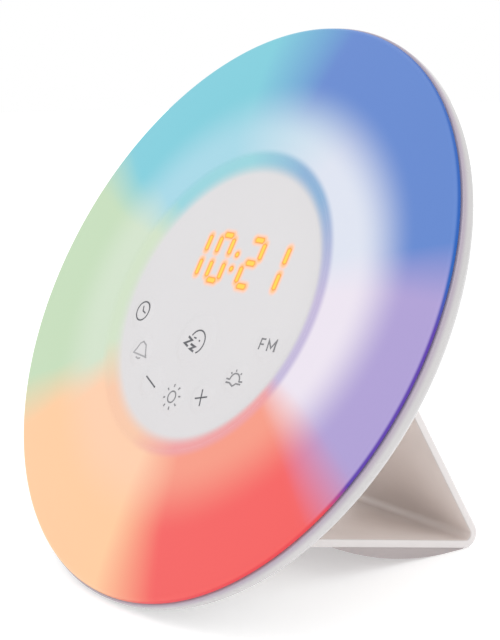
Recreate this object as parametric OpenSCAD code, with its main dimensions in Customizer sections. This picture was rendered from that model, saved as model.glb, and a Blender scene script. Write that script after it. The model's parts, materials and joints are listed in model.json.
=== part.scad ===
// Round sunrise alarm clock: a light disc leaning back on a bent loop stand.
// Resting frame: +Z up, the light faces -Y, X runs across, the origin is under the middle of its box.
// Disc frame: z points out of the light's face, y runs up the face, z = 0 at the cover's edge.

/* [Disc] */
// Radius of the opal cover's edge
face_r = 85; // [80:0.5:92]
// Lean of the disc back from upright, degrees
tilt = 28.2; // [24:0.2:32]
// Depth of the disc behind the cover's edge
disc_depth = 24; // [23:0.5:27]
// How far the housing's rim stands out past the cover
rim_proud = 0.7; // [0.3:0.1:1.5]
// Rounding of the housing's rear edge
rim_round = 4; // [3:0.5:5]
// Depth at which that rounding starts
rim_side = 4.3; // [3.5:0.1:6]
// Slope of the housing's back cone, degrees
back_slope = 31.4; // [30:0.2:34]
// Rounding between the cone and the flat back
back_round = 10; // [6:1:14]
// Wall of the housing
housing_wall = 2.2; // [1.8:0.1:2.8]

/* [Front cover] */
// Wall of the cover
cover_wall = 1.6; // [1.2:0.1:2]
// Rounding of the cover's outer edge
cover_round = 1.5; // [1:0.1:1.8]
// Radius of the ring's crest beside the panel
crest_r = 45.2; // [44.6:0.2:48]
// Height of the crest over the cover's edge
crest_h = 1.4; // [0.8:0.1:2.4]
// Radius of the flat control panel
panel_r = 38.6; // [37.6:0.2:39.4]
// Depth of the panel below the cover's edge
panel_drop = 0.5; // [0.2:0.1:1]
// Depth of the dark parting groove between cover and rim
groove_gap = 0.5; // [0.3:0.1:0.8]

/* [Keys] */
// Radius of the arc that the small keys stand on
key_arc_r = 32.2; // [30.5:0.1:32.4]
// Height of that arc's centre above the panel's centre
key_arc_up = 3.2; // [2.8:0.1:4]
// Angle between neighbouring keys
key_step = 23; // [21:0.5:24]
// Radius of a small touch spot
spot_r = 5.4; // [4.5:0.1:5.6]
// Radius of the snooze spot
snooze_r = 8.6; // [7:0.1:9.4]
// Height of the touch spots
spot_h = 0.45; // [0.3:0.05:0.6]
// Width of a printed line
print_w = 0.55; // [0.4:0.05:0.7]
// Thickness of the print
print_t = 0.1; // [0.06:0.02:0.2]

/* [Display] */
// Height of the digits
digit_h = 15.3; // [14:0.1:16]
// Width of a digit between its stroke centres
digit_w = 5.9; // [5.4:0.1:6.4]
// Distance from digit to digit
digit_pitch = 10.9; // [10.4:0.1:11.4]
// Extra room between the middle digits for the colon
colon_room = 3.3; // [2.6:0.1:4]
// Width of a segment
segment_w = 1.5; // [1.2:0.1:1.8]
// Height of the digits' middle above the panel's centre
display_up = 12.6; // [11:0.1:13.5]
// Thickness of the display module
display_t = 4.6; // [4:0.1:5]

/* [Light] */
// Outer radius of the light shield
shield_r = 41.2; // [40.4:0.1:42.4]
// Wall of the light shield
shield_wall = 1.5; // [1.2:0.1:2]
// Outer radius of the light board
light_board_r = 58; // [56:0.5:59]
// Number of light emitters
led_count = 24; // [18:1:30]
// Side of a light emitter
led_size = 5; // [4:0.5:5]
// Depth of the tray's floor behind the cover's edge
tray_depth = 10.2; // [10:0.1:10.8]
// Wall of the tray
tray_wall = 1.2; // [1:0.1:1.6]

/* [Boards] */
// Thickness of every circuit board
board_t = 1.6; // [1.2:0.2:1.6]
// Width of the main board
main_w = 60; // [54:1:62]
// Height of the main board
main_h = 46; // [42:1:48]
// Gap under the main board
main_lift = 4; // [3.5:0.1:4.4]
// Side of the control chip
chip_size = 10; // [7:0.5:12]
// Radius of the larger capacitors
capacitor_r = 3.1; // [2.5:0.1:3.4]
// Height of the capacitors
capacitor_t = 4.4; // [3.4:0.1:4.6]
// Height of the plugs on the main board
connector_t = 3.6; // [2.5:0.1:4]
// Width of the side plugs
plug_w = 5; // [4:0.5:6]
// Length of the side plugs
plug_h = 8; // [7:0.5:9]

/* [Speaker] */
// Distance from the speaker to the rounded edge of the back
speaker_inset = 0.3; // [0.1:0.1:1.5]
// Radius of the speaker's frame
speaker_r = 18; // [17:0.1:18]
// Depth of the speaker
speaker_t = 8.6; // [8:0.1:9]
// Travel of the cone each way
cone_travel = 0.8; // [0.4:0.1:1]
// Radius of a grille hole
grille_hole_r = 0.9; // [0.7:0.05:1.1]
// Distance between rings of grille holes
grille_step = 3.4; // [2.8:0.1:3.6]
// Rings of grille holes round the middle one
grille_rings = 3; // [2:1:3]

/* [Battery] */
// Radius of the coin cell
cell_r = 10; // [8:0.1:10.2]
// Thickness of the coin cell
cell_t = 3.2; // [2.5:0.1:3.2]
// Distance of the cell from the disc's centre line
cell_x = 44; // [43:0.1:45]
// Width of the door's slot in the back
door_w = 23.6; // [22:0.1:24.5]
// Thickness of the door
door_t = 1.6; // [1.4:0.1:1.8]
// Reach of the door's tongues into their grooves
tongue = 1; // [0.6:0.1:1.2]
// Gap round the door
door_gap = 0.2; // [0.1:0.05:0.3]

/* [Screws] */
// Radius of the stand's screws
stand_screw_r = 1.25; // [1:0.05:1.5]
// Radius of the tray's screws
tray_screw_r = 1.2; // [0.9:0.05:1.4]
// Radius of the main board's screws
board_screw_r = 1; // [0.8:0.05:1.2]
// Radius of the touch board's screws
lug_screw_r = 0.85; // [0.7:0.05:1]
// Radius of the speaker's screws
speaker_screw_r = 0.75; // [0.6:0.05:0.8]
// Play round every screw
thread_play = 0.05; // [0.02:0.01:0.1]

/* [Power socket] */
// Distance of the socket from the disc's centre line
jack_x = 42; // [40:0.5:44]
// Radius of the socket's barrel
jack_r = 4.2; // [4:0.1:5]
// Radius of the socket's bore
jack_bore_r = 2.85; // [2.75:0.05:3.2]
// Depth of the socket's bore
jack_bore_t = 9; // [8:0.5:9.5]
// Radius of the socket's centre pin
jack_pin_r = 1.05; // [0.65:0.05:1.3]

/* [Stand] */
// Width of the loop
stand_w = 57; // [50:0.5:59]
// Thickness of the loop's plate
stand_t = 2.3; // [1.8:0.1:2.6]
// Lean of the rear leg from upright, degrees
leg_lean = 31.8; // [29:0.2:33]
// Rise of the base plate towards the disc, degrees
base_rise = 11.3; // [10:0.1:12]
// Distance from the disc's resting point back to the rear bend's centre
stand_reach = 107.4; // [102:0.2:112]
// Outer radius of the rear bend
bend_r = 4; // [3.6:0.1:5]
// Clearance of the rear bend over the ground
bend_lift = 0.2; // [0.1:0.05:0.5]
// Thickness of the plate that lies against the housing
flange_t = 2.4; // [2:0.1:3]
// Radius of the foot strip's arched underside
foot_arc_r = 108; // [100:1:120]
// Distance from the rear bend's centre to the foot's lowest line
foot_back = 5.4; // [4.5:0.1:7]
// Half the width of the foot's flat
foot_flat = 4; // [3:0.1:4]
// How far the foot strip stays inside the stand's edges
foot_inset = 0.5; // [0.2:0.1:1]

/* [Hidden] */
$fn = 96;

eps = 0.01;
white_gloss = "whitesmoke";
board_green = "seagreen";
steel = "silver";

// ---- Places in the disc frame -------------------------------------------------------------------
rim_r = face_r + rim_proud;
groove_top = -cover_round - groove_gap;
groove_floor_r = face_r - 1;
rim_edge = 0.5;
fold_r = rim_r - rim_round;
flat_z = -disc_depth;
floor_z = flat_z + housing_wall;
panel_z = -panel_drop;
panel_back_z = panel_z - cover_wall;
tray_top_z = -tray_depth;
tray_back_z = tray_top_z - tray_wall;
inner_r = rim_r - housing_wall;
lip_gap = 0.2;
lip_r = inner_r - lip_gap;
lip_wall = 2.4;
lip_end_z = -5;
bead = 0.3;
bead_z = -3.6;
face_gap = 0.1;

// Turn from the rim's side round to the back cone
side_turn = 90 - back_slope;
cone_u = cos(side_turn);
cone_w = -sin(side_turn);
round_z = flat_z + back_round;
round_r = ((rim_round - back_round) + fold_r * cone_u - rim_side * cone_w - round_z * cone_w) / cone_u;

function arc(centre, r, from, to, steps) =
    [for (i = [0:steps]) let (a = from + (to - from) * i / steps) centre + r * [cos(a), sin(a)]];

// Height of the back's outer surface, sunk inwards by an inset, at a radius on the cone
function cone_z(r, inset) =
    ((rim_round - inset) + fold_r * cone_u - rim_side * cone_w - r * cone_u) / cone_w;

// Outline of the housing from its front edge to its axis, sunk inwards by an inset
function shell_outline(top, inset) = concat(
    [[0, top]],
    arc([rim_r - rim_edge - inset, top - rim_edge], rim_edge, 90, 0, 4),
    arc([fold_r, -rim_side], rim_round - inset, 0, -side_turn, 10),
    arc([round_r, round_z], back_round - inset, -side_turn, -90, 8),
    [[0, flat_z + inset]]
);

// ---- Places in the resting frame, as [y from the disc's resting point, z] -----------------------
face_back = fold_r * sin(tilt) - rim_side * cos(tilt);
face_rise = fold_r * cos(tilt) + rim_side * sin(tilt) + rim_round;
front_y = face_back - ((face_r - cover_round) * sin(tilt) - cover_round * cos(tilt) + cover_round);
back_y = stand_reach + bend_r;
rest_y = -(front_y + back_y) / 2;

function disc_h(p) = -(p[0] - face_back) * cos(tilt) + (p[1] - face_rise) * sin(tilt);
function disc_v(p) = (p[0] - face_back) * sin(tilt) + (p[1] - face_rise) * cos(tilt);
// Where a line from p along d meets the plane that lies h in front of the cover's edge
function meet(p, d, h) = p + d * (h - disc_h(p)) / (-d[0] * cos(tilt) + d[1] * sin(tilt));

bend_c = [stand_reach, bend_r + bend_lift];
base_dir = [-cos(base_rise), sin(base_rise)];
base_out = [-sin(base_rise), -cos(base_rise)];
leg_dir = [-sin(leg_lean), cos(leg_lean)];
leg_out = [cos(leg_lean), sin(leg_lean)];
base_low = meet(bend_c + bend_r * base_out, base_dir, flat_z);
leg_top = meet(bend_c + bend_r * leg_out, leg_dir, flat_z);
seat_low_v = disc_v(base_low);
seat_top_v = disc_v(leg_top);

// ---- Frames -------------------------------------------------------------------------------------
module in_disc() {
    translate([0, rest_y + face_back, face_rise])
        rotate([90 - tilt, 0, 0])
            children();
}

module across(width) {
    translate([-width / 2, rest_y, 0])
        rotate([90, 0, 90])
            linear_extrude(width)
                children();
}

module ring(r_out, r_in, z_low, z_high) {
    difference() {
        translate([0, 0, z_low]) cylinder(r = r_out, h = z_high - z_low);
        translate([0, 0, z_low - 1]) cylinder(r = r_in, h = z_high - z_low + 2);
    }
}

module block(x_size, y_size, z_low, z_high) {
    translate([-x_size / 2, -y_size / 2, z_low]) cube([x_size, y_size, z_high - z_low]);
}

// A screw along z with its head above the seat and its shank below
module screw(shank_r, shank_l, head_r, head_t) {
    slot_w = 0.8;
    difference() {
        union() {
            translate([0, 0, -shank_l]) cylinder(r = shank_r, h = shank_l + eps, $fn = 32);
            cylinder(r = head_r, h = head_t, $fn = 32);
        }
        block(head_r * 1.3, slot_w, head_t / 2, head_t + 1);
        block(slot_w, head_r * 1.3, head_t / 2, head_t + 1);
    }
}

// A wire of square section along points in the disc's plane, with mitred bends
function unit(v) = v / norm(v);
function left(v) = [-v[1], v[0]];
function mitre(points, i) =
    let (last = len(points) - 1,
         a = left(unit(i > 0 ? points[i] - points[i - 1] : points[1] - points[0])),
         b = i < last ? left(unit(points[i + 1] - points[i])) : a)
        wire_t / 2 * (a + b) / (1 + a * b);
module wire(points) {
    last = len(points) - 1;
    translate([0, 0, wire_z]) linear_extrude(wire_t) polygon(concat(
        [for (i = [0:last]) points[i] + mitre(points, i)],
        [for (i = [last:-1:0]) points[i] - mitre(points, i)]
    ));
}

// The end of a wire that goes down to what it is soldered to
module wire_drop(x, y, z) {
    translate([x - wire_t / 2, y - wire_t / 2, z]) cube([wire_t, wire_t, wire_z + wire_t - z]);
}

// A printed line through points
module line(points) {
    for (i = [0:len(points) - 2]) {
        d = points[i + 1] - points[i];
        translate(points[i])
            rotate(atan2(d[1], d[0]))
                translate([0, -print_w / 2])
                    square([norm(d), print_w]);
    }
    for (p = points) translate(p) circle(d = print_w, $fn = 16);
}

module circle_line(r) {
    difference() {
        circle(r = r + print_w / 2, $fn = 48);
        circle(r = r - print_w / 2, $fn = 48);
    }
}

// ---- Front cover --------------------------------------------------------------------------------
// Surface from the panel's edge up the soft shoulder, over the crest and out to the edge
shoulder_w = crest_r - panel_r;
lip_round = 1.4;
ring_sag = 0.5;
function shoulder_z(r) =
    let (s = (r - panel_r) / (shoulder_w - lip_round))
        panel_z + (crest_h - lip_round / 3 - panel_z) * (3 * s * s - 2 * s * s * s);
function ring_z(s) = crest_h * (1 - s) + ring_sag * 4 * s * (1 - s);
function ring_point(s) = [crest_r + (face_r - cover_round - crest_r) * s, ring_z(s)];
face_line = concat(
    [for (i = [0:7]) let (r = panel_r + (shoulder_w - lip_round) * i / 7) [r, shoulder_z(r)]],
    [for (a = [60, 30, 0]) [crest_r - lip_round * 0.75 * sin(a), crest_h - lip_round / 3 * (1 - cos(a))]],
    [for (i = [1:11]) ring_point(i / 12)]
);

module front_cover() color("mistyrose") in_disc() {
    rotate_extrude(convexity = 6) polygon(concat(
        [[0, panel_z]],
        face_line,
        arc([face_r - cover_round, -cover_round], cover_round, 90, 0, 8),
        [[lip_r, groove_top + groove_gap], [lip_r, bead_z + bead], [lip_r + bead - 0.1, bead_z],
         [lip_r, bead_z - bead], [lip_r, lip_end_z], [lip_r - lip_wall, lip_end_z],
         [lip_r - lip_wall, -cover_wall - 0.4]],
        [for (i = [10:-1:1]) ring_point(i / 12) - [0, cover_wall]],
        [[crest_r - 0.4, crest_h - cover_wall], [shield_r + 0.6, panel_back_z], [0, panel_back_z]]
    ));
    key_places() touch_spot(spot_r);
    snooze_place() touch_spot(snooze_r);
}

module touch_spot(r) {
    slope_w = 1.2;
    translate([0, 0, panel_z - eps]) cylinder(r1 = r, r2 = r - slope_w, h = spot_h + eps, $fn = 48);
}

key_count = 7;
// The symbols are drawn for a touch spot of this radius
drawn_spot_r = 5.4;
function key_angle(i) = 270 + (i - (key_count - 1) / 2) * key_step;
function key_place(i) = [key_arc_r * cos(key_angle(i)), key_arc_up + key_arc_r * sin(key_angle(i)), 0];
snooze_at = [-0.3, -11.9, 0];

module key_places() {
    for (i = [0:key_count - 1]) translate(key_place(i)) children();
}

module snooze_place() {
    translate(snooze_at) children();
}

// ---- Printed symbols ----------------------------------------------------------------------------
module clock_symbol() {
    centre = [0.1, 0.6];
    translate(centre) {
        circle_line(2.9);
        line([[-0.6, 1.5], [0, 0], [1.6, -0.5]]);
    }
}

module bell_symbol() {
    line([[-2.8, -1], [-1.9, 0.6], [-1.3, 2.1], [-0.1, 2.8], [1.7, 2], [2.7, 0.2], [3.6, -1.4],
          [-2.8, -1]]);
    line([[-0.9, -2.1], [0.3, -2.4], [1.4, -2.1]]);
}

module minus_symbol() {
    line([[-2.6, 0.8], [3.3, -1.5]]);
}

module sun_symbol() {
    rays = 8;
    turn = 12;
    circle_line(1.7);
    for (i = [0:rays - 1]) rotate(turn + i * 360 / rays) line([[2.9, 0], [3.7, 0]]);
}

module plus_symbol() {
    translate([0, -0.3]) rotate(17) {
        line([[-2.5, 0], [2.5, 0]]);
        line([[0, -2.4], [0, 2.4]]);
    }
}

module sunrise_symbol() {
    translate([0, -0.6]) {
        for (a = [51, 103, 141]) rotate(a) line([[2.5, 0], [3.1, 0]]);
        line([for (i = [0:6]) 2 * [cos(i * 30), sin(i * 30)]]);
        line([[-3.5, 0], [-2, 0]]);
        line([[2, 0], [3.3, 0.2]]);
        line([[-3.2, -1], [-1.6, -0.9], [0, -1.6], [1.1, -0.7], [3, -0.6]]);
    }
}

module fm_symbol() {
    line([[-2.6, -1.7], [-2.7, 1.3], [-1, 1.4]]);
    line([[-2.6, -0.2], [-1.2, -0.1]]);
    line([[0.8, -1.6], [0.4, 1.3], [2.1, -0.6], [3.3, 1.5], [3.6, -1.4]]);
}

module snooze_symbol() {
    line([for (i = [0:10]) [1.1, -0.5] + 3.4 * [cos(155 - i * 22), sin(155 - i * 22)]]);
    line([[-0.8, 0.5], [0.4, 0.4]]);
    line([[1.8, 0], [2.4, -0.1]]);
    line([[-3.3, 0.4], [-1.2, -0.4], [-4, -1.7], [-2, -2.4]]);
    line([[-1.1, -1.5], [1.2, -2], [-0.6, -2.9], [1.3, -3.4]]);
}

module key_symbol(i) {
    if (i == 0) clock_symbol();
    if (i == 1) bell_symbol();
    if (i == 2) minus_symbol();
    if (i == 3) sun_symbol();
    if (i == 4) plus_symbol();
    if (i == 5) sunrise_symbol();
    if (i == 6) fm_symbol();
}

module printed() {
    linear_extrude(print_t) scale(spot_r / drawn_spot_r) children();
}

module key_legends() color("dimgray") in_disc() {
    translate([0, 0, panel_z + spot_h]) {
        for (i = [0:key_count - 1]) translate(key_place(i)) printed() key_symbol(i);
        translate(snooze_at) printed() snooze_symbol();
    }
}

// ---- Display ------------------------------------------------------------------------------------
display_top_z = panel_back_z - face_gap;
segment_t = 0.3;
display_face_z = display_top_z - segment_t;
display_back_z = display_top_z - display_t;
colon_gap = 4.3;
segment_gap = 0.35;
function digit_x(i) = (i - 1.5) * digit_pitch + (i < 2 ? -1 : 1) * colon_room / 2;

// A bar with pointed ends along x
module bar(l) {
    h = segment_w / 2;
    polygon([[-l / 2, 0], [-l / 2 + h, h], [l / 2 - h, h], [l / 2, 0], [l / 2 - h, -h], [-l / 2 + h, -h]]);
}

module seven_segments() {
    tall = digit_h / 2 - segment_w / 2 - segment_gap;
    wide = digit_w - segment_gap;
    for (v = [-1:1]) translate([0, v * (digit_h - segment_w) / 2]) bar(wide);
    for (u = [-1, 1], v = [-1, 1])
        translate([u * digit_w / 2, v * (digit_h - segment_w) / 4]) rotate(90) bar(tall);
}

module display_segments() color("orange") in_disc() {
    translate([0, display_up, display_face_z]) linear_extrude(segment_t) {
        for (i = [0:3]) translate([digit_x(i), 0]) seven_segments();
        for (v = [-1, 1]) translate([0, v * colon_gap / 2]) circle(r = segment_w / 2, $fn = 32);
    }
}

module display_module() color("gainsboro") in_disc() {
    side = 2.2;
    translate([0, display_up, 0])
        block(3 * digit_pitch + colon_room + digit_w + segment_w + 2 * side, digit_h + 2 * side,
              display_back_z, display_face_z);
}

// ---- Touch board and light shield ---------------------------------------------------------------
board_r = shield_r - shield_wall - 0.4;
lug_r = 2.6;
lug_at = board_r - lug_r - 0.4;
touch_top_z = display_back_z;
touch_low_z = touch_top_z - board_t;
lug_angles = [20, 160, 270];
lug_hole_play = 0.45;

module at_lugs() {
    for (a = lug_angles) rotate(a) translate([lug_at, 0, 0]) children();
}

module touch_board() color(board_green) in_disc() {
    difference() {
        translate([0, 0, touch_low_z]) cylinder(r = board_r, h = board_t);
        at_lugs() translate([0, 0, touch_low_z - 1])
            cylinder(r = lug_screw_r + lug_hole_play, h = board_t + 2, $fn = 32);
    }
}

module touch_pads() color("dimgray") in_disc() {
    pad_share = 0.6;
    key_places() pad(spot_r * pad_share);
    snooze_place() pad(snooze_r * pad_share);
}

module pad(r) {
    translate([0, 0, touch_top_z]) cylinder(r = r, h = panel_back_z - touch_top_z, $fn = 32);
}

module light_shield() color("white") in_disc() {
    ring(shield_r, shield_r - shield_wall, tray_top_z, panel_back_z);
    at_lugs() difference() {
        union() {
            translate([0, 0, tray_back_z]) cylinder(r = lug_r, h = touch_low_z - tray_back_z, $fn = 32);
            translate([0, -lug_r, tray_top_z])
                cube([shield_r - shield_wall / 2 - lug_at, 2 * lug_r, touch_low_z - tray_top_z]);
        }
        translate([0, 0, tray_back_z - 1])
            cylinder(r = lug_screw_r + thread_play, h = touch_low_z - tray_back_z + 2, $fn = 32);
    }
}

module touch_board_screws() color(steel) in_disc() {
    at_lugs() translate([0, 0, touch_top_z]) screw(lug_screw_r, board_t + 2.4, 2, 1);
}

// ---- Light ring ---------------------------------------------------------------------------------
light_in_r = shield_r + 2.4;
light_top_z = tray_top_z + board_t;
light_cable_at = light_in_r + 1.6;
light_cable_w = 9;
led_ring_r = (light_in_r + light_board_r) / 2;
led_t = 1.6;
tray_screw_at = light_board_r + 4;
tray_screw_count = 4;
tray_screw_turn = 45;
tray_hole_r = 1.5;
led_turn = 0.5;

module at_tray_screws() {
    for (i = [0:tray_screw_count - 1])
        rotate(tray_screw_turn + i * 360 / tray_screw_count)
            translate([tray_screw_at, 0, 0])
                children();
}

module light_board() color("white") in_disc() {
    ring(light_board_r, light_in_r, tray_top_z, light_top_z);
}

module light_emitters() color("lavender") in_disc() {
    for (i = [0:led_count - 1]) rotate((i + led_turn) * 360 / led_count) translate([led_ring_r, 0, 0])
        block(led_size, led_size, light_top_z, light_top_z + led_t);
}

tray_in_r = shield_r - shield_wall - 1;
tray_flat_r = tray_screw_at + 3.6;
tray_lip_r = lip_r - 1.5;
tray_rise_r = tray_lip_r - 2.5;
module reflector_tray() color("white") in_disc() {
    difference() {
        rotate_extrude(convexity = 4) polygon([
            [tray_in_r, tray_top_z], [tray_flat_r, tray_top_z],
            [tray_rise_r, lip_end_z], [tray_lip_r, lip_end_z], [tray_lip_r, lip_end_z - tray_wall],
            [tray_rise_r + 0.3, lip_end_z - tray_wall], [tray_flat_r + 0.3, tray_back_z],
            [tray_in_r, tray_back_z]
        ]);
        at_tray_screws() translate([0, 0, tray_back_z - 1])
            cylinder(r = tray_hole_r, h = tray_wall + 2, $fn = 32);
        at_lugs() translate([0, 0, tray_back_z - 1]) cylinder(r = lug_r + 0.3, h = tray_wall + 2, $fn = 32);
        translate([0, -light_cable_at, 0])
            block(light_cable_w + 1, 2, tray_back_z - 1, tray_top_z + 1);
    }
}

module tray_screws() color(steel) in_disc() {
    at_tray_screws() translate([0, 0, tray_top_z])
        screw(tray_screw_r, tray_top_z - tray_screw_end_z, 2.4, 1.2);
}

// ---- Rear housing -------------------------------------------------------------------------------
door_x_in = cell_x - cell_r - 2.2;
door_x_out = 66;
door_low_z = flat_z + door_t;
well_r = cell_r + 0.3;
well_floor_z = door_low_z + cell_t + 0.8;
well_wall = 1.4;
socket_flange_r = jack_r + 1.4;
socket_flange_t = 1.5;
grommet_r = 2.5;
grommet_at = [38, -30, 0];
board_at = [0, -15, 0];
board_screw_x = main_w / 2 - 3.5;
board_screw_y = main_h / 2 - 3.5;
main_low_z = floor_z + main_lift;
main_top_z = main_low_z + board_t;
stand_screw_x = stand_w / 2 - 11;
stand_screw_low = seat_low_v + 12;
stand_screw_top = seat_top_v - 15;
stand_screw_vs = [stand_screw_low, stand_screw_top];
stand_hole_r = stand_screw_r + 0.45;
stand_boss_r = 3.2;
seat_margin = 0.6;
speaker_up = round_r - speaker_r - speaker_inset;
speaker_boss_r = 1.5;
tray_boss_r = 3.2;
board_boss_r = 2.6;
hole_spare = 0.5;
tray_screw_end_z = cone_z(tray_screw_at, housing_wall) + 1.6;
speaker_screw_at = speaker_r + speaker_boss_r + 0.1;
speaker_screw_angles = [30, 150, 270];

module at_board_screws() {
    for (u = [-1, 1], v = [-1, 1])
        translate([board_at[0] + u * board_screw_x, board_at[1] + v * board_screw_y, 0]) children();
}

module at_speaker() {
    translate([0, speaker_up, 0]) children();
}

module at_speaker_screws() {
    at_speaker() for (a = speaker_screw_angles) rotate(a) translate([speaker_screw_at, 0, 0]) children();
}

module at_stand_screws() {
    for (u = [-1, 1], v = stand_screw_vs) translate([u * stand_screw_x, v, 0]) children();
}

// Opening that takes the sliding door; a gap of 0 gives the door itself
module door_space(gap, x_out) {
    step_z = (flat_z + door_low_z) / 2;
    half = door_w / 2 + gap;
    translate([-x_out, -half, flat_z - 1])
        cube([x_out - door_x_in + gap, 2 * half, step_z - flat_z + 1 + eps]);
    translate([-x_out, -half - tongue, step_z - gap / 2])
        cube([x_out - door_x_in + gap, 2 * (half + tongue), door_low_z - step_z + gap / 2]);
}

module shell_body() {
    intersection() {
        union() {
            rotate_extrude(convexity = 6) polygon(shell_outline(groove_top, 0));
            ring(groove_floor_r + eps, inner_r - 1, groove_top - eps, groove_top + groove_gap);
            stand_seat();
        }
        translate([0, 0, flat_z]) cylinder(r = rim_r + 1, h = disc_depth);
    }
}

// Raised block that the stand's flange lies on
module stand_seat() {
    translate([-stand_w / 2 - seat_margin, seat_low_v - seat_margin, flat_z])
        cube([stand_w + 2 * seat_margin, seat_top_v - seat_low_v + 2 * seat_margin, 8]);
}

module housing_hollow() {
    bead_room = bead + 0.1;
    rotate_extrude(convexity = 6) polygon(concat(
        [[0, 1], [inner_r, 1], [inner_r, bead_z + bead_room],
         [inner_r + bead_room - 0.2, bead_z], [inner_r, bead_z - bead_room]],
        arc([fold_r, -rim_side], rim_round - housing_wall, 0, -side_turn, 8),
        arc([round_r, round_z], back_round - housing_wall, -side_turn, -90, 8),
        [[0, floor_z]]
    ));
}

module boss(r, hole_r, z_low, z_high) {
    difference() {
        translate([0, 0, z_low]) cylinder(r = r, h = z_high - z_low, $fn = 32);
        translate([0, 0, z_high - 6]) cylinder(r = hole_r, h = 7, $fn = 32);
    }
}

module rear_housing() color(white_gloss) in_disc() {
    difference() {
        union() {
            difference() {
                shell_body();
                housing_hollow();
            }
            intersection() {
                at_tray_screws() translate([0, 0, flat_z])
                    cylinder(r = tray_boss_r, h = tray_back_z - flat_z, $fn = 32);
                rotate_extrude(convexity = 6) polygon(shell_outline(0, housing_wall / 2));
            }
            at_board_screws() boss(board_boss_r, board_screw_r + thread_play, floor_z - 0.5, main_low_z);
            at_speaker_screws()
                boss(speaker_boss_r, speaker_screw_r + thread_play, floor_z - 0.5,
                     speaker_front_z + speaker_flange_t);
            translate([-cell_x, 0, floor_z - 0.5])
                cylinder(r = well_r + well_wall, h = well_floor_z + well_wall - floor_z + 0.5);
        }
        translate([-cell_x, 0, flat_z - 1]) cylinder(r = well_r, h = well_floor_z - flat_z + 1);
        door_space(door_gap, door_x_out + 1);
        translate([jack_x, 0, flat_z - 1]) cylinder(r = jack_r + 0.05, h = housing_wall + 2, $fn = 48);
        translate(grommet_at + [0, 0, flat_z - 1]) cylinder(r = grommet_r, h = housing_wall + 2, $fn = 32);
        at_tray_screws() translate([0, 0, tray_screw_end_z - hole_spare])
            cylinder(r = tray_screw_r + thread_play, h = disc_depth, $fn = 32);
        at_speaker_screws() translate([0, 0, floor_z - 1])
            cylinder(r = speaker_screw_r + thread_play, h = 3, $fn = 32);
        at_speaker() grille() translate([0, 0, flat_z - 1])
            cylinder(r = grille_hole_r, h = housing_wall + 2, $fn = 24);
        at_stand_screws() translate([0, 0, flat_z - 1]) cylinder(r = stand_hole_r, h = 12, $fn = 32);
    }
}

module grille() {
    children();
    for (k = [1:grille_rings], i = [0:6 * k - 1])
        rotate(i * 60 / k) translate([k * grille_step, 0, 0]) children();
}

// ---- Main board ---------------------------------------------------------------------------------
module main_board() color(board_green) in_disc() {
    difference() {
        translate(board_at) block(main_w, main_h, main_low_z, main_top_z);
        at_board_screws() translate([0, 0, main_low_z - 1]) cylinder(r = 1.3, h = board_t + 2, $fn = 32);
    }
}

module on_board(x, y) {
    translate([board_at[0] + x, board_at[1] + y, main_top_z]) children();
}

module board_chips() color("darkslategray") in_disc() {
    chip_t = 1.5;
    on_board(-main_w * 0.2, main_h * 0.06) block(chip_size, chip_size, 0, chip_t);
    on_board(main_w * 0.2, -main_h * 0.26) block(chip_size * 0.6, chip_size * 0.5, 0, chip_t);
    on_board(-main_w * 0.2, -main_h * 0.26) block(chip_size * 0.5, chip_size * 0.4, 0, chip_t);
}

module radio_can() color(steel) in_disc() {
    on_board(main_w * 0.22, main_h * 0.15) block(main_w * 0.23, main_h * 0.28, 0, 2.8);
}

module capacitors() color("slategray") in_disc() {
    for (u = [-1, 1])
        on_board(u * main_w * 0.4, -main_h * 0.17) cylinder(r = capacitor_r, h = capacitor_t, $fn = 32);
    on_board(0, main_h * 0.3) cylinder(r = capacitor_r * 0.8, h = capacitor_t, $fn = 32);
}

side_plug = [-main_w * 0.4, board_at[1] + main_h * 0.13];
power_plug = [main_w * 0.44, board_at[1] + main_h * 0.13];
panel_plug_y = main_h * 0.04;
light_plug_y = -main_h * 0.39;
cable_plug_t = 4.5;
module board_connectors() color("ivory") in_disc() {
    on_board(0, panel_plug_y) block(panel_cable_w + 1, cable_plug_t, 0, connector_t);
    for (p = [side_plug, power_plug])
        translate([p[0], p[1], main_top_z]) block(plug_w, plug_h, 0, connector_t);
    on_board(0, light_plug_y) block(light_cable_w + 3, cable_plug_t, 0, connector_t);
}

// Flat cables, drawn in the y-z plane of the disc and as wide as stated
module flat_cable(x, width, outline) {
    translate([x - width / 2, 0, 0]) rotate([90, 0, 90]) linear_extrude(width) polygon(outline);
}

cable_t = 0.4;
panel_cable_w = 8;
module ribbon_cable() color("white") in_disc() {
    y = board_at[1] + panel_plug_y;
    rise = y + cable_plug_t / 2 + 2;
    low = main_top_z + connector_t;
    top = touch_low_z;
    flat_cable(0, panel_cable_w, [
        [y - cable_plug_t / 2, low], [rise, low], [rise, top - cable_t],
        [rise + 5, top - cable_t], [rise + 5, top], [rise - cable_t, top],
        [rise - cable_t, low + cable_t], [y - cable_plug_t / 2, low + cable_t]
    ]);
}

module light_cable() color("white") in_disc() {
    start = board_at[1] + light_plug_y + cable_plug_t / 2;
    end = -light_cable_at;
    low = main_top_z + connector_t;
    flat_cable(0, light_cable_w, [
        [start, low], [end, low], [end, tray_top_z], [end + cable_t, tray_top_z],
        [end + cable_t, low + cable_t], [start, low + cable_t]
    ]);
}

module board_screws() color(steel) in_disc() {
    at_board_screws() translate([0, 0, main_top_z]) screw(board_screw_r, board_t + 3.4, 2.2, 1.2);
}

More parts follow.
